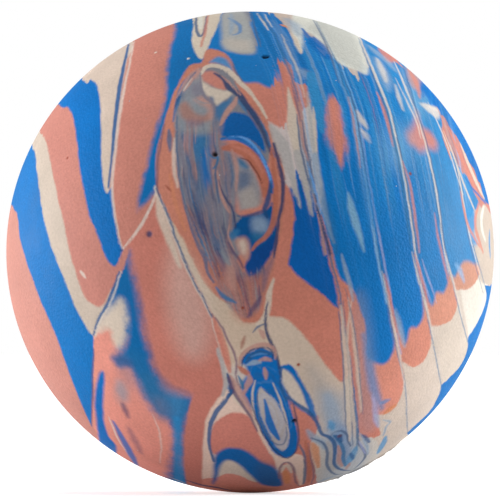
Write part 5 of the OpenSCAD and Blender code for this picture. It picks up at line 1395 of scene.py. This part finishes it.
def streak(colour, place, lane, amount):
    """The fine streaks of the pulled field: shades from lane to lane, smears of other tints, dark lines."""
    v = place[:, 1]
    blue = STREAKS_LEAST + (1 - STREAKS_LEAST) * soft_step((colour[:, 2] - colour[:, 0]) * STREAKS_RATE)
    shade = drawn_clouds(lane, v, *PULLED_SHADE)
    colour *= 1 + ((shade - 0.5) * PULLED_CONTRAST * amount)[:, None]
    smear(colour, amount * blue, lane, v, SMEARS, PULLED_NOISE)
    step = lane - np.floor(lane)
    quick, seed = LINES_BREAK
    broken = LINES_LEAST + (1 - LINES_LEAST) * clouds(lane, v * quick, seed)
    for offset, width, tint, strength in LANE_LINES:
        line = soft_step(1 - np.abs(step - offset) / width)
        mix(colour, strength * amount * line * broken, tint)


def marble(colour, place, held, centre, half, tilt, bands, warp, seed, ramp, strength):
    """Ring on ring of tints, bent by noise, laid over the places that are held."""
    near = np.nonzero(held > 0)[0]
    if not len(near):
        return
    u, v = (place[near] - centre).T
    a = (u * math.cos(tilt) + v * math.sin(tilt)) / half[0]
    b = (v * math.cos(tilt) - u * math.sin(tilt)) / half[1]
    ring = np.hypot(a, b)
    for k, (wide, high, share) in enumerate(RING_BENDS):
        ring = ring + share * warp * (clouds(a * wide, b * high, seed + k) - 0.5)
    value = (ring * bands) % 1.0 * len(ramp)
    tints = np.array([linear(tint) for tint in ramp])
    low = np.floor(value).astype(int) % len(ramp)
    part = soft_step((value - np.floor(value)) * RING_CHANGE)[:, None]
    laid = tints[low] * (1 - part) + tints[(low + 1) % len(ramp)] * part
    cover = (held[near] * strength)[:, None]
    colour[near] += cover * (laid - colour[near])


def draw_out(colour, place, held, smears):
    """Smears of tints in the big swirl's filling, along the way that it was drawn out."""
    near = np.nonzero(held > 0)[0]
    v = place[near, 1]
    left, right = (np.interp(v, *unpack(line)[::-1, ::-1].T) for line in (FILLING_LEFT, FILLING_RIGHT))
    across = (place[near, 0] - left) / (right - left)
    laid = colour[near]
    smear(laid, 1, across, v, smears, DRAWN_NOISE)
    colour[near] += held[near, None] * (laid - colour[near])


def along_bands(colour, points):
    """The drawn-out shades of the strips that run round behind the ball."""
    waves = BAND_WAVE * (grain(points, *BAND_WAVES) - 0.5)
    run = points[:, 2] + BAND_LEAN * points[:, 0] + waves
    amount = fade(points[:, 1], *BAND_START)
    x = points[:, 0]
    shade = drawn_clouds(run, x, *BACK_SHADE)
    colour *= 1 + ((shade - 0.5) * BACK_CONTRAST * amount)[:, None]
    smear(colour, amount, run, x, BACK_SMEARS, BACK_NOISE)


def within(points, side, ring, soft, find=on_ball):
    """How much points lie in a ring of places with a soft edge: not at all, if it is on the other side."""
    soft = soft / 1000
    ring = find(bend(unpack(ring), True))
    if (ring[:, 1] * side).max() < -OTHER_SIDE:
        return np.zeros(len(points))
    gap, _ = away_from(points, np.concatenate([ring, ring[:1]]), soft)
    held = inside(flat(points, side), flat(ring, side)) & (points[:, 1] * side > -PAST_LIMB)
    return soft_step(0.5 + np.where(held, gap, -gap) / (2 * soft))


def paint(points, side):
    """The marbled colours at points of the skin, and how deep the skin dips there, in metres."""
    moved = points
    for size, amount, seed in SHAKES:
        moved = shaken(moved, size, amount, seed)
    moved /= np.linalg.norm(moved, axis=1)[:, None]
    place = shares(moved)
    tugged, lane, amount = pulled(moved, place, side)
    colour = base_coat(tugged, side)
    rim = np.nonzero(np.abs(moved[:, 1]) < RIM_BLEND)[0]
    share = soft_step(0.5 - moved[rim, 1] * side / (2 * RIM_BLEND))[:, None]
    colour[rim] += share * (base_coat(tugged[rim], -side) - colour[rim])
    colour *= (1 + MOTTLE * (2 * grain(moved, MOTTLE_SIZE, 31) - 1))[:, None]
    dip = np.zeros(len(points))
    streak(colour, place, lane, amount)
    if side > 0:
        along_bands(colour, moved)
        place = shares(moved * [1, -1, 1])
    for ring, soft, *marbling in MARBLED if side < 0 else MARBLED_BEHIND:
        find = on_ball if side < 0 else behind_ball
        marble(colour, place, within(moved, side, ring, soft, find), *marbling)
    filling = within(moved, side, FILLING, FILLING_SOFT)
    draw_out(colour, place, filling, FILLING_SMEARS)
    for tint, soft, strength, ring in PATCHES:
        mix(colour, strength * within(moved, side, ring, soft), tint)
    filling = filling * soft_step((FIBRES_TOP - place[:, 1]) * FIBRES_FADE)
    draw_out(colour, place, filling, FILLING_FIBRES)
    runs = [(stroke, on_ball) for stroke in STROKES]
    if side > 0:
        runs += [(stroke, behind_ball) for stroke in STROKES_BEHIND]
    for (tint, widths, soft, strength, path), find in runs:
        run = find(bend(unpack(path), False))
        widths = [width / 1000 for width in widths]
        soft = soft / 1000
        far = max(widths) / 2 + soft
        gap, along = away_from(moved, run, far)
        width = np.interp(along, np.linspace(0, 1, len(widths)), widths)
        cover = strength * soft_step(0.5 + (width / 2 - gap) / soft)
        cover[gap >= far] = 0
        mix(colour, cover, tint)
    for tint, size, depth, spot in PITS:
        gap = np.linalg.norm(points - on_ball(unpack(spot))[0], axis=1)
        cover = soft_step(PIT_EDGE - gap / (size / 1000))
        mix(colour, cover, tint)
        dip += cover * depth
    return np.clip(colour, 0, 1), dip


def mesh_of(name, points, faces, smooth, colour):
    """A plain mesh with its colour as an attribute; faces that aren't smooth are flat."""
    used, faces = np.unique(faces, return_inverse=True)
    faces = faces.reshape(-1, 3)
    mesh = bpy.data.meshes.new(name)
    mesh.vertices.add(len(used))
    mesh.vertices.foreach_set("co", (points[used] * BALL_AXES).astype(np.float32).ravel())
    mesh.loops.add(len(faces) * 3)
    mesh.loops.foreach_set("vertex_index", faces.astype(np.int32).ravel())
    mesh.polygons.add(len(faces))
    mesh.polygons.foreach_set("loop_start", np.arange(0, len(faces) * 3, 3, dtype=np.int32))
    mesh.polygons.foreach_set("use_smooth", smooth)
    mesh.update(calc_edges=True)
    edge_of = np.zeros(len(faces) * 3, np.int32)
    mesh.loops.foreach_get("edge_index", edge_of)
    sharp = np.zeros(len(mesh.edges), bool)
    sharp[edge_of.reshape(-1, 3)[~smooth].ravel()] = True
    mesh.edges.foreach_set("use_edge_sharp", sharp)
    layer = mesh.color_attributes.new("rubber", "FLOAT_COLOR", "POINT")
    shown = np.column_stack([colour[used], np.ones(len(used))]).astype(np.float32)
    layer.data.foreach_set("color", shown.ravel())
    mesh.color_attributes.active_color = layer
    piece = bpy.data.objects.new(name, mesh)
    bpy.context.scene.collection.objects.link(piece)
    return piece


def make_strips():
    """Every strip of the ball as a closed piece: skin, walls and inner face, in front and behind."""
    parts = {name: [] for name in RINGS}
    for side, step in ((-1, FRONT_STEP), (1, BACK_STEP)):
        points, faces, owner, on_limb = skin(side, step)
        colour, dip = paint(points, side)
        all_points, inner, inner_owner = close_up(points, faces, owner, on_limb, side)
        all_points[: len(points)] *= (1 - dip / BALL_HALF_WIDE)[:, None]
        full = np.concatenate([colour, np.tile(INNER_COLOUR, (len(all_points) - len(points), 1))])
        for i, name in enumerate(RINGS):
            skin_faces, inner_faces = faces[owner == i], inner[inner_owner == i]
            if len(skin_faces):
                parts[name].append((all_points, full, skin_faces, inner_faces))
    pieces = {}
    for name, halves in parts.items():
        points, colour, faces, smooth, shift = [], [], [], [], 0
        for half_points, half_colour, skin_faces, inner_faces in halves:
            points.append(half_points)
            colour.append(half_colour)
            faces.append(np.concatenate([skin_faces, inner_faces]) + shift)
            smooth.append(np.append(np.ones(len(skin_faces), bool), np.zeros(len(inner_faces), bool)))
            shift += len(half_points)
        joined = [np.concatenate(part) for part in (points, faces, smooth, colour)]
        piece = mesh_of(name + "_rubber", *joined)
        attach(piece, "root")
        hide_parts(name)
        pieces[name] = piece
    return pieces


def wire(tree, kind, spot, **values):
    """A shader node with its inputs or settings by name."""
    node = tree.nodes.new(kind)
    node.location = spot
    for key, value in values.items():
        if key in node.inputs:
            node.inputs[key].default_value = value
        else:
            setattr(node, key, value)
    return node


def join(tree, *links):
    """Links sockets: each link is a node, its output, another node and its input."""
    for source, out, target, into in links:
        tree.links.new(source.outputs[out], target.inputs[into])


def bare_tree(holder):
    """The node tree of a material or world, emptied."""
    holder.use_nodes = True
    holder.node_tree.nodes.clear()
    return holder.node_tree


def spread(tree, spot, source, low, high):
    """The middle values of a noise spread from low to high."""
    node = wire(tree, "ShaderNodeMapRange", spot)
    for key, value in (("From Min", NOISE_LOW), ("From Max", NOISE_HIGH), ("To Min", low), ("To Max", high)):
        node.inputs[key].default_value = value
    join(tree, (source, "Fac", node, "Value"))
    return node


def rubber(name, mottle):
    """Matte moulded rubber: the strip's own colours, a fine mottle, and a pebbled skin."""
    material = bpy.data.materials.new(name)
    tree = bare_tree(material)
    place = wire(tree, "ShaderNodeTexCoord", (-1200, 0))
    colour = wire(tree, "ShaderNodeAttribute", (-900, 300), attribute_name="rubber")
    speckle = wire(tree, "ShaderNodeTexNoise", (-900, 0), Scale=SPECKLE_SCALE, Detail=2.0, Roughness=0.6)
    cloud = wire(tree, "ShaderNodeTexNoise", (-900, -250), Scale=CLOUD_SCALE, Detail=3.0, Roughness=0.55)
    pebble = wire(tree, "ShaderNodeTexVoronoi", (-900, -500), Scale=PEBBLE_SCALE)
    for node in (speckle, cloud, pebble):
        join(tree, (place, "Object", node, "Vector"))
    bright = spread(tree, (-650, 0), speckle, 1 - mottle, 1 + mottle)
    shade = spread(tree, (-650, -250), cloud, 1 - CLOUDINESS, 1 + CLOUDINESS)
    both = wire(tree, "ShaderNodeMath", (-450, -100), operation="MULTIPLY")
    mixed = wire(tree, "ShaderNodeVectorMath", (-250, 200), operation="SCALE")
    bumps = wire(tree, "ShaderNodeMath", (-450, -450), operation="MULTIPLY_ADD")
    bumps.inputs[1].default_value = SPECKLE_HEIGHT
    relief = wire(tree, "ShaderNodeBump", (-250, -350), Strength=0.55, Distance=RELIEF)
    gloss = spread(tree, (-250, -100), cloud, ROUGHNESS - ROUGHNESS_CHANGE, ROUGHNESS + ROUGHNESS_CHANGE)
    skin_shader = wire(tree, "ShaderNodeBsdfPrincipled", (50, 0), **{"Specular IOR Level": 0.08, "IOR": 1.5})
    out = wire(tree, "ShaderNodeOutputMaterial", (350, 0))
    join(
        tree,
        (bright, "Result", both, 0),
        (shade, "Result", both, 1),
        (colour, "Color", mixed, "Vector"),
        (both, "Value", mixed, "Scale"),
        (speckle, "Fac", bumps, 0),
        (pebble, "Distance", bumps, 2),
        (bumps, "Value", relief, "Height"),
        (mixed, "Vector", skin_shader, "Base Color"),
        (gloss, "Result", skin_shader, "Roughness"),
        (relief, "Normal", skin_shader, "Normal"),
        (skin_shader, "BSDF", out, "Surface"),
    )
    return material


def softbox(name, place, aim, size, power):
    """A square studio lamp that looks at a place; the camera doesn't see it."""
    lamp = bpy.data.lights.new(name, "AREA")
    lamp.shape = "RECTANGLE"
    lamp.size, lamp.size_y = size
    lamp.energy = power
    holder = bpy.data.objects.new(name, lamp)
    bpy.context.scene.collection.objects.link(holder)
    holder.location = place
    way = Vector(aim) - Vector(place)
    holder.rotation_euler = way.to_track_quat("-Z", "Y").to_euler()
    holder.visible_camera = False
    return holder


def make_studio():
    """The pale floor, the white room, the lamps and the camera."""
    scene = bpy.context.scene
    scene.view_settings.view_transform = "Standard"
    world = bpy.data.worlds.new("white_room")
    scene.world = world
    tree = bare_tree(world)
    seen = wire(tree, "ShaderNodeLightPath", (-600, 0))
    strength = wire(tree, "ShaderNodeMapRange", (-350, 0), **{"To Min": ROOM_LIGHT, "To Max": 1.0})
    sky = wire(tree, "ShaderNodeBackground", (-100, 0), Color=(1.0, 1.0, 1.0, 1.0))
    out = wire(tree, "ShaderNodeOutputWorld", (150, 0))
    join(
        tree,
        (seen, "Is Camera Ray", strength, "Value"),
        (strength, "Result", sky, "Strength"),
        (sky, "Background", out, "Surface"),
    )

    mesh = bpy.data.meshes.new("studio_floor")
    corners = ((-1, -1), (1, -1), (1, 1), (-1, 1))
    spots = [(x * FLOOR_HALF, y * FLOOR_HALF, -BALL_HALF_HIGH) for x, y in corners]
    mesh.from_pydata(spots, [], [(0, 1, 2, 3)])
    floor = bpy.data.objects.new("studio_floor", mesh)
    scene.collection.objects.link(floor)
    paper = bpy.data.materials.new("white_paper")
    tree = bare_tree(paper)
    seen = wire(tree, "ShaderNodeLightPath", (-600, 200))
    place = wire(tree, "ShaderNodeTexCoord", (-1000, 400))
    away = wire(tree, "ShaderNodeVectorMath", (-800, 400), operation="LENGTH")
    reach = {"From Min": GLOW_FROM, "From Max": GLOW_TO, "To Min": FLOOR_GLOW, "To Max": 1.0}
    fade = wire(tree, "ShaderNodeMapRange", (-600, 400), **reach)
    glow = wire(tree, "ShaderNodeMath", (-400, 200), operation="MULTIPLY")
    lit = wire(tree, "ShaderNodeEmission", (-200, 200))
    matte = wire(tree, "ShaderNodeBsdfDiffuse", (-200, 0), Color=(PAPER, PAPER, PAPER, 1.0))
    both = wire(tree, "ShaderNodeAddShader", (0, 100))
    out = wire(tree, "ShaderNodeOutputMaterial", (200, 100))
    join(
        tree,
        (place, "Object", away, 0),
        (away, "Value", fade, "Value"),
        (seen, "Is Camera Ray", glow, 0),
        (fade, "Result", glow, 1),
        (glow, "Value", lit, "Strength"),
        (lit, "Emission", both, 0),
        (matte, "BSDF", both, 1),
        (both, "Shader", out, "Surface"),
    )
    mesh.materials.append(paper)

    for name, place, size, power in LAMPS:
        softbox(name, place, (0, 0, 0), size, power)

    lens = bpy.data.cameras.new("camera")
    lens.sensor_width = FILM_WIDE
    lens.lens = BALL_HALF_WIDE_PX / LIMB_SLOPE * lens.sensor_width / FRAME_PX[0]
    lens.shift_x = (FRAME_PX[0] / 2 - BALL_CENTRE_PX[0]) / FRAME_PX[0]
    lens.shift_y = (BALL_CENTRE_PX[1] - FRAME_PX[1] / 2) / FRAME_PX[0]
    lens.clip_start = 0.01
    lens.clip_end = 10.0
    eye = bpy.data.objects.new("camera", lens)
    scene.collection.objects.link(eye)
    eye.location = (0, -CAMERA_BACK, 0)
    eye.rotation_euler = (math.pi / 2, 0, 0)
    scene.camera = eye


def make_flash():
    """The torn fin on the parting line, ragged at its edge."""
    count = FLASH_STEPS
    turn = np.radians(np.linspace(FLASH_FROM, FLASH_TO, count))
    ends = np.sin(np.linspace(0, math.pi, count)) ** 0.5
    around = np.stack([np.cos(turn), np.zeros(count), np.sin(turn)], 1)
    deep = TEAR_BASE + (1 - TEAR_BASE) * grain(around, *COARSE_TEAR)
    tear = TEAR_LEAST + (1 - TEAR_LEAST) * grain(around, *FINE_TEAR) * deep
    proud = FLASH_PROUD * tear * ends / BALL_HALF_WIDE
    rows = []
    for lift, thick in FLASH_SECTION:
        rise = 1 + (proud * lift if lift > 0 else lift)
        for back in (-1, 1):
            row = around * np.reshape(rise, (-1, 1))
            row[:, 1] = back * thick / BALL_HALF_WIDE * (ends if lift > 0 else 1)
            rows.append(row)
    n = len(rows)
    points = np.stack(rows[0::2] + rows[1::2][::-1], 1).reshape(-1, 3)
    faces = []
    for i in range(count - 1):
        for k in range(n):
            a, b = i * n + k, i * n + (k + 1) % n
            faces += [(a, b, b + n), (a, b + n, a + n)]
    last = (count - 1) * n
    for k in range(1, n - 1):
        faces += [(0, k + 1, k), (last, last + k, last + k + 1)]
    unit = points / np.linalg.norm(points, axis=1)[:, None]
    colour, _ = paint(unit, -1)
    piece = mesh_of("moulding_flash_rubber", points, np.array(faces), np.ones(len(faces), bool), colour)
    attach(piece, "root")
    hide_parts("moulding_flash")
    return piece


def speck_tree():
    """Geometry Nodes: small flattened grains strewn over a surface."""
    tree = bpy.data.node_groups.new("speck_scatter", "GeometryNodeTree")
    face = tree.interface
    face.new_socket("Surface", in_out="INPUT", socket_type="NodeSocketGeometry")
    for name, kind in (
        ("Specks per square metre", "NodeSocketFloat"),
        ("Smallest size", "NodeSocketFloat"),
        ("Largest size", "NodeSocketFloat"),
        ("Seed", "NodeSocketInt"),
        ("Finish", "NodeSocketMaterial"),
    ):
        face.new_socket(name, in_out="INPUT", socket_type=kind)
    face.new_socket("Specks", in_out="OUTPUT", socket_type="NodeSocketGeometry")
    start = wire(tree, "NodeGroupInput", (-900, 0))
    strewn = wire(tree, "GeometryNodeDistributePointsOnFaces", (-600, 100))
    grain_shape = wire(tree, "GeometryNodeMeshIcoSphere", (-600, -200), Subdivisions=2, Radius=0.5)
    lumpy = wire(tree, "GeometryNodeSetPosition", (-350, -200))
    dents = wire(tree, "ShaderNodeTexNoise", (-600, -450), Scale=2.3)
    centred = wire(tree, "ShaderNodeVectorMath", (-450, -450), operation="SUBTRACT")
    centred.inputs[1].default_value = (0.5, 0.5, 0.5)
    sizes = wire(tree, "FunctionNodeRandomValue", (-350, 300), data_type="FLOAT")
    thin = wire(tree, "ShaderNodeCombineXYZ", (-180, 300))
    low = wire(tree, "ShaderNodeMath", (-250, 450), operation="MULTIPLY")
    low.inputs[1].default_value = SPECK_FLATNESS
    placed = wire(tree, "GeometryNodeInstanceOnPoints", (-50, 0))
    real = wire(tree, "GeometryNodeRealizeInstances", (150, 0))
    finish = wire(tree, "GeometryNodeSetMaterial", (350, 0))
    end = wire(tree, "NodeGroupOutput", (550, 0))
    smallest = [i for i, s in enumerate(sizes.inputs) if s.name == "Min" and s.type == "VALUE"][0]
    largest = [i for i, s in enumerate(sizes.inputs) if s.name == "Max" and s.type == "VALUE"][0]
    size = [i for i, s in enumerate(sizes.outputs) if s.name == "Value" and s.type == "VALUE"][0]
    join(
        tree,
        (start, "Surface", strewn, "Mesh"),
        (start, "Specks per square metre", strewn, "Density"),
        (start, "Seed", strewn, "Seed"),
        (grain_shape, "Mesh", lumpy, "Geometry"),
        (dents, "Color", centred, 0),
        (centred, "Vector", lumpy, "Offset"),
        (start, "Smallest size", sizes, smallest),
        (start, "Largest size", sizes, largest),
        (start, "Seed", sizes, "Seed"),
        (sizes, size, low, 0),
        (sizes, size, thin, "X"),
        (sizes, size, thin, "Y"),
        (low, "Value", thin, "Z"),
        (strewn, "Points", placed, "Points"),
        (strewn, "Rotation", placed, "Rotation"),
        (lumpy, "Geometry", placed, "Instance"),
        (thin, "Vector", placed, "Scale"),
        (placed, "Instances", real, "Geometry"),
        (real, "Geometry", finish, "Geometry"),
        (start, "Finish", finish, "Material"),
        (finish, "Geometry", end, "Specks"),
    )
    return tree


def dust():
    """Pale rubber dust, a little uneven."""
    material = bpy.data.materials.new("rubber_dust")
    tree = bare_tree(material)
    place = wire(tree, "ShaderNodeTexCoord", (-800, 0))
    cloud = wire(tree, "ShaderNodeTexNoise", (-600, 0), Scale=900.0, Detail=2.0)
    tints = wire(tree, "ShaderNodeValToRGB", (-400, 0))
    for stop, position, tint in zip(tints.color_ramp.elements, (0.35, 0.65), ("pale", "haze")):
        stop.position = position
        stop.color = (*linear(tint), 1)
    matte = wire(tree, "ShaderNodeBsdfPrincipled", (-100, 0), **{"Roughness": 0.8, "Specular IOR Level": 0.1})
    out = wire(tree, "ShaderNodeOutputMaterial", (200, 0))
    join(
        tree,
        (place, "Object", cloud, "Vector"),
        (cloud, "Fac", tints, "Fac"),
        (tints, "Color", matte, "Base Color"),
        (matte, "BSDF", out, "Surface"),
    )
    return material


def make_specks():
    """Grains of rubber dust that cling to the skin, strewn by Geometry Nodes over a net laid on the ball."""
    net = bpy.data.meshes.new("speck_net")
    points = []
    for j in range(NET_ROWS + 1):
        lift = math.radians(-NET_TOP + 2 * NET_TOP * j / NET_ROWS)
        for i in range(NET_TURNS):
            turn = 2 * math.pi * i / NET_TURNS
            points.append((math.cos(lift) * math.cos(turn), math.cos(lift) * math.sin(turn), math.sin(lift)))
    faces = []
    for j in range(NET_ROWS):
        for i in range(NET_TURNS):
            here, beside = j * NET_TURNS + i, j * NET_TURNS + (i + 1) % NET_TURNS
            corners = (here, beside, beside + NET_TURNS, here + NET_TURNS)
            middle = np.mean([points[c] for c in corners], axis=0)
            if np.abs(middle).max() < SPECK_REACH:
                faces.append(corners)
    net.from_pydata([tuple(np.array(p) * BALL_AXES) for p in points], [], faces)
    carrier = bpy.data.objects.new("speck_net", net)
    bpy.context.scene.collection.objects.link(carrier)
    tree = speck_tree()
    wanted = {
        "Specks per square metre": SPECKS_PER_SQUARE_METRE,
        "Smallest size": SPECK_SIZES[0],
        "Largest size": SPECK_SIZES[1],
        "Seed": SPECK_SEED,
        "Finish": dust(),
    }
    scatter = carrier.modifiers.new("specks", "NODES")
    scatter.node_group = tree
    for item in tree.interface.items_tree:
        if item.in_out == "INPUT" and item.name in wanted:
            scatter[item.identifier] = wanted[item.name]
    bpy.context.view_layer.update()
    ready = carrier.evaluated_get(bpy.context.evaluated_depsgraph_get())
    mesh = bpy.data.meshes.new_from_object(ready)
    carrier.modifiers.remove(scatter)
    bpy.data.objects.remove(carrier)
    for face in mesh.polygons:
        face.use_smooth = True
    piece = bpy.data.objects.new("surface_specks", mesh)
    bpy.context.scene.collection.objects.link(piece)
    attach(piece, "root")
    return piece


strips = make_strips()
strips["moulding_flash"] = make_flash()
finishes = {kind: rubber(kind + "_rubber", mottle) for kind, mottle in MOTTLES.items()}
for name, piece in strips.items():
    kind = STRIPS[name][0] if name in STRIPS else FLASH_RUBBER
    piece.data.materials.append(finishes[kind])
make_specks()
make_studio()
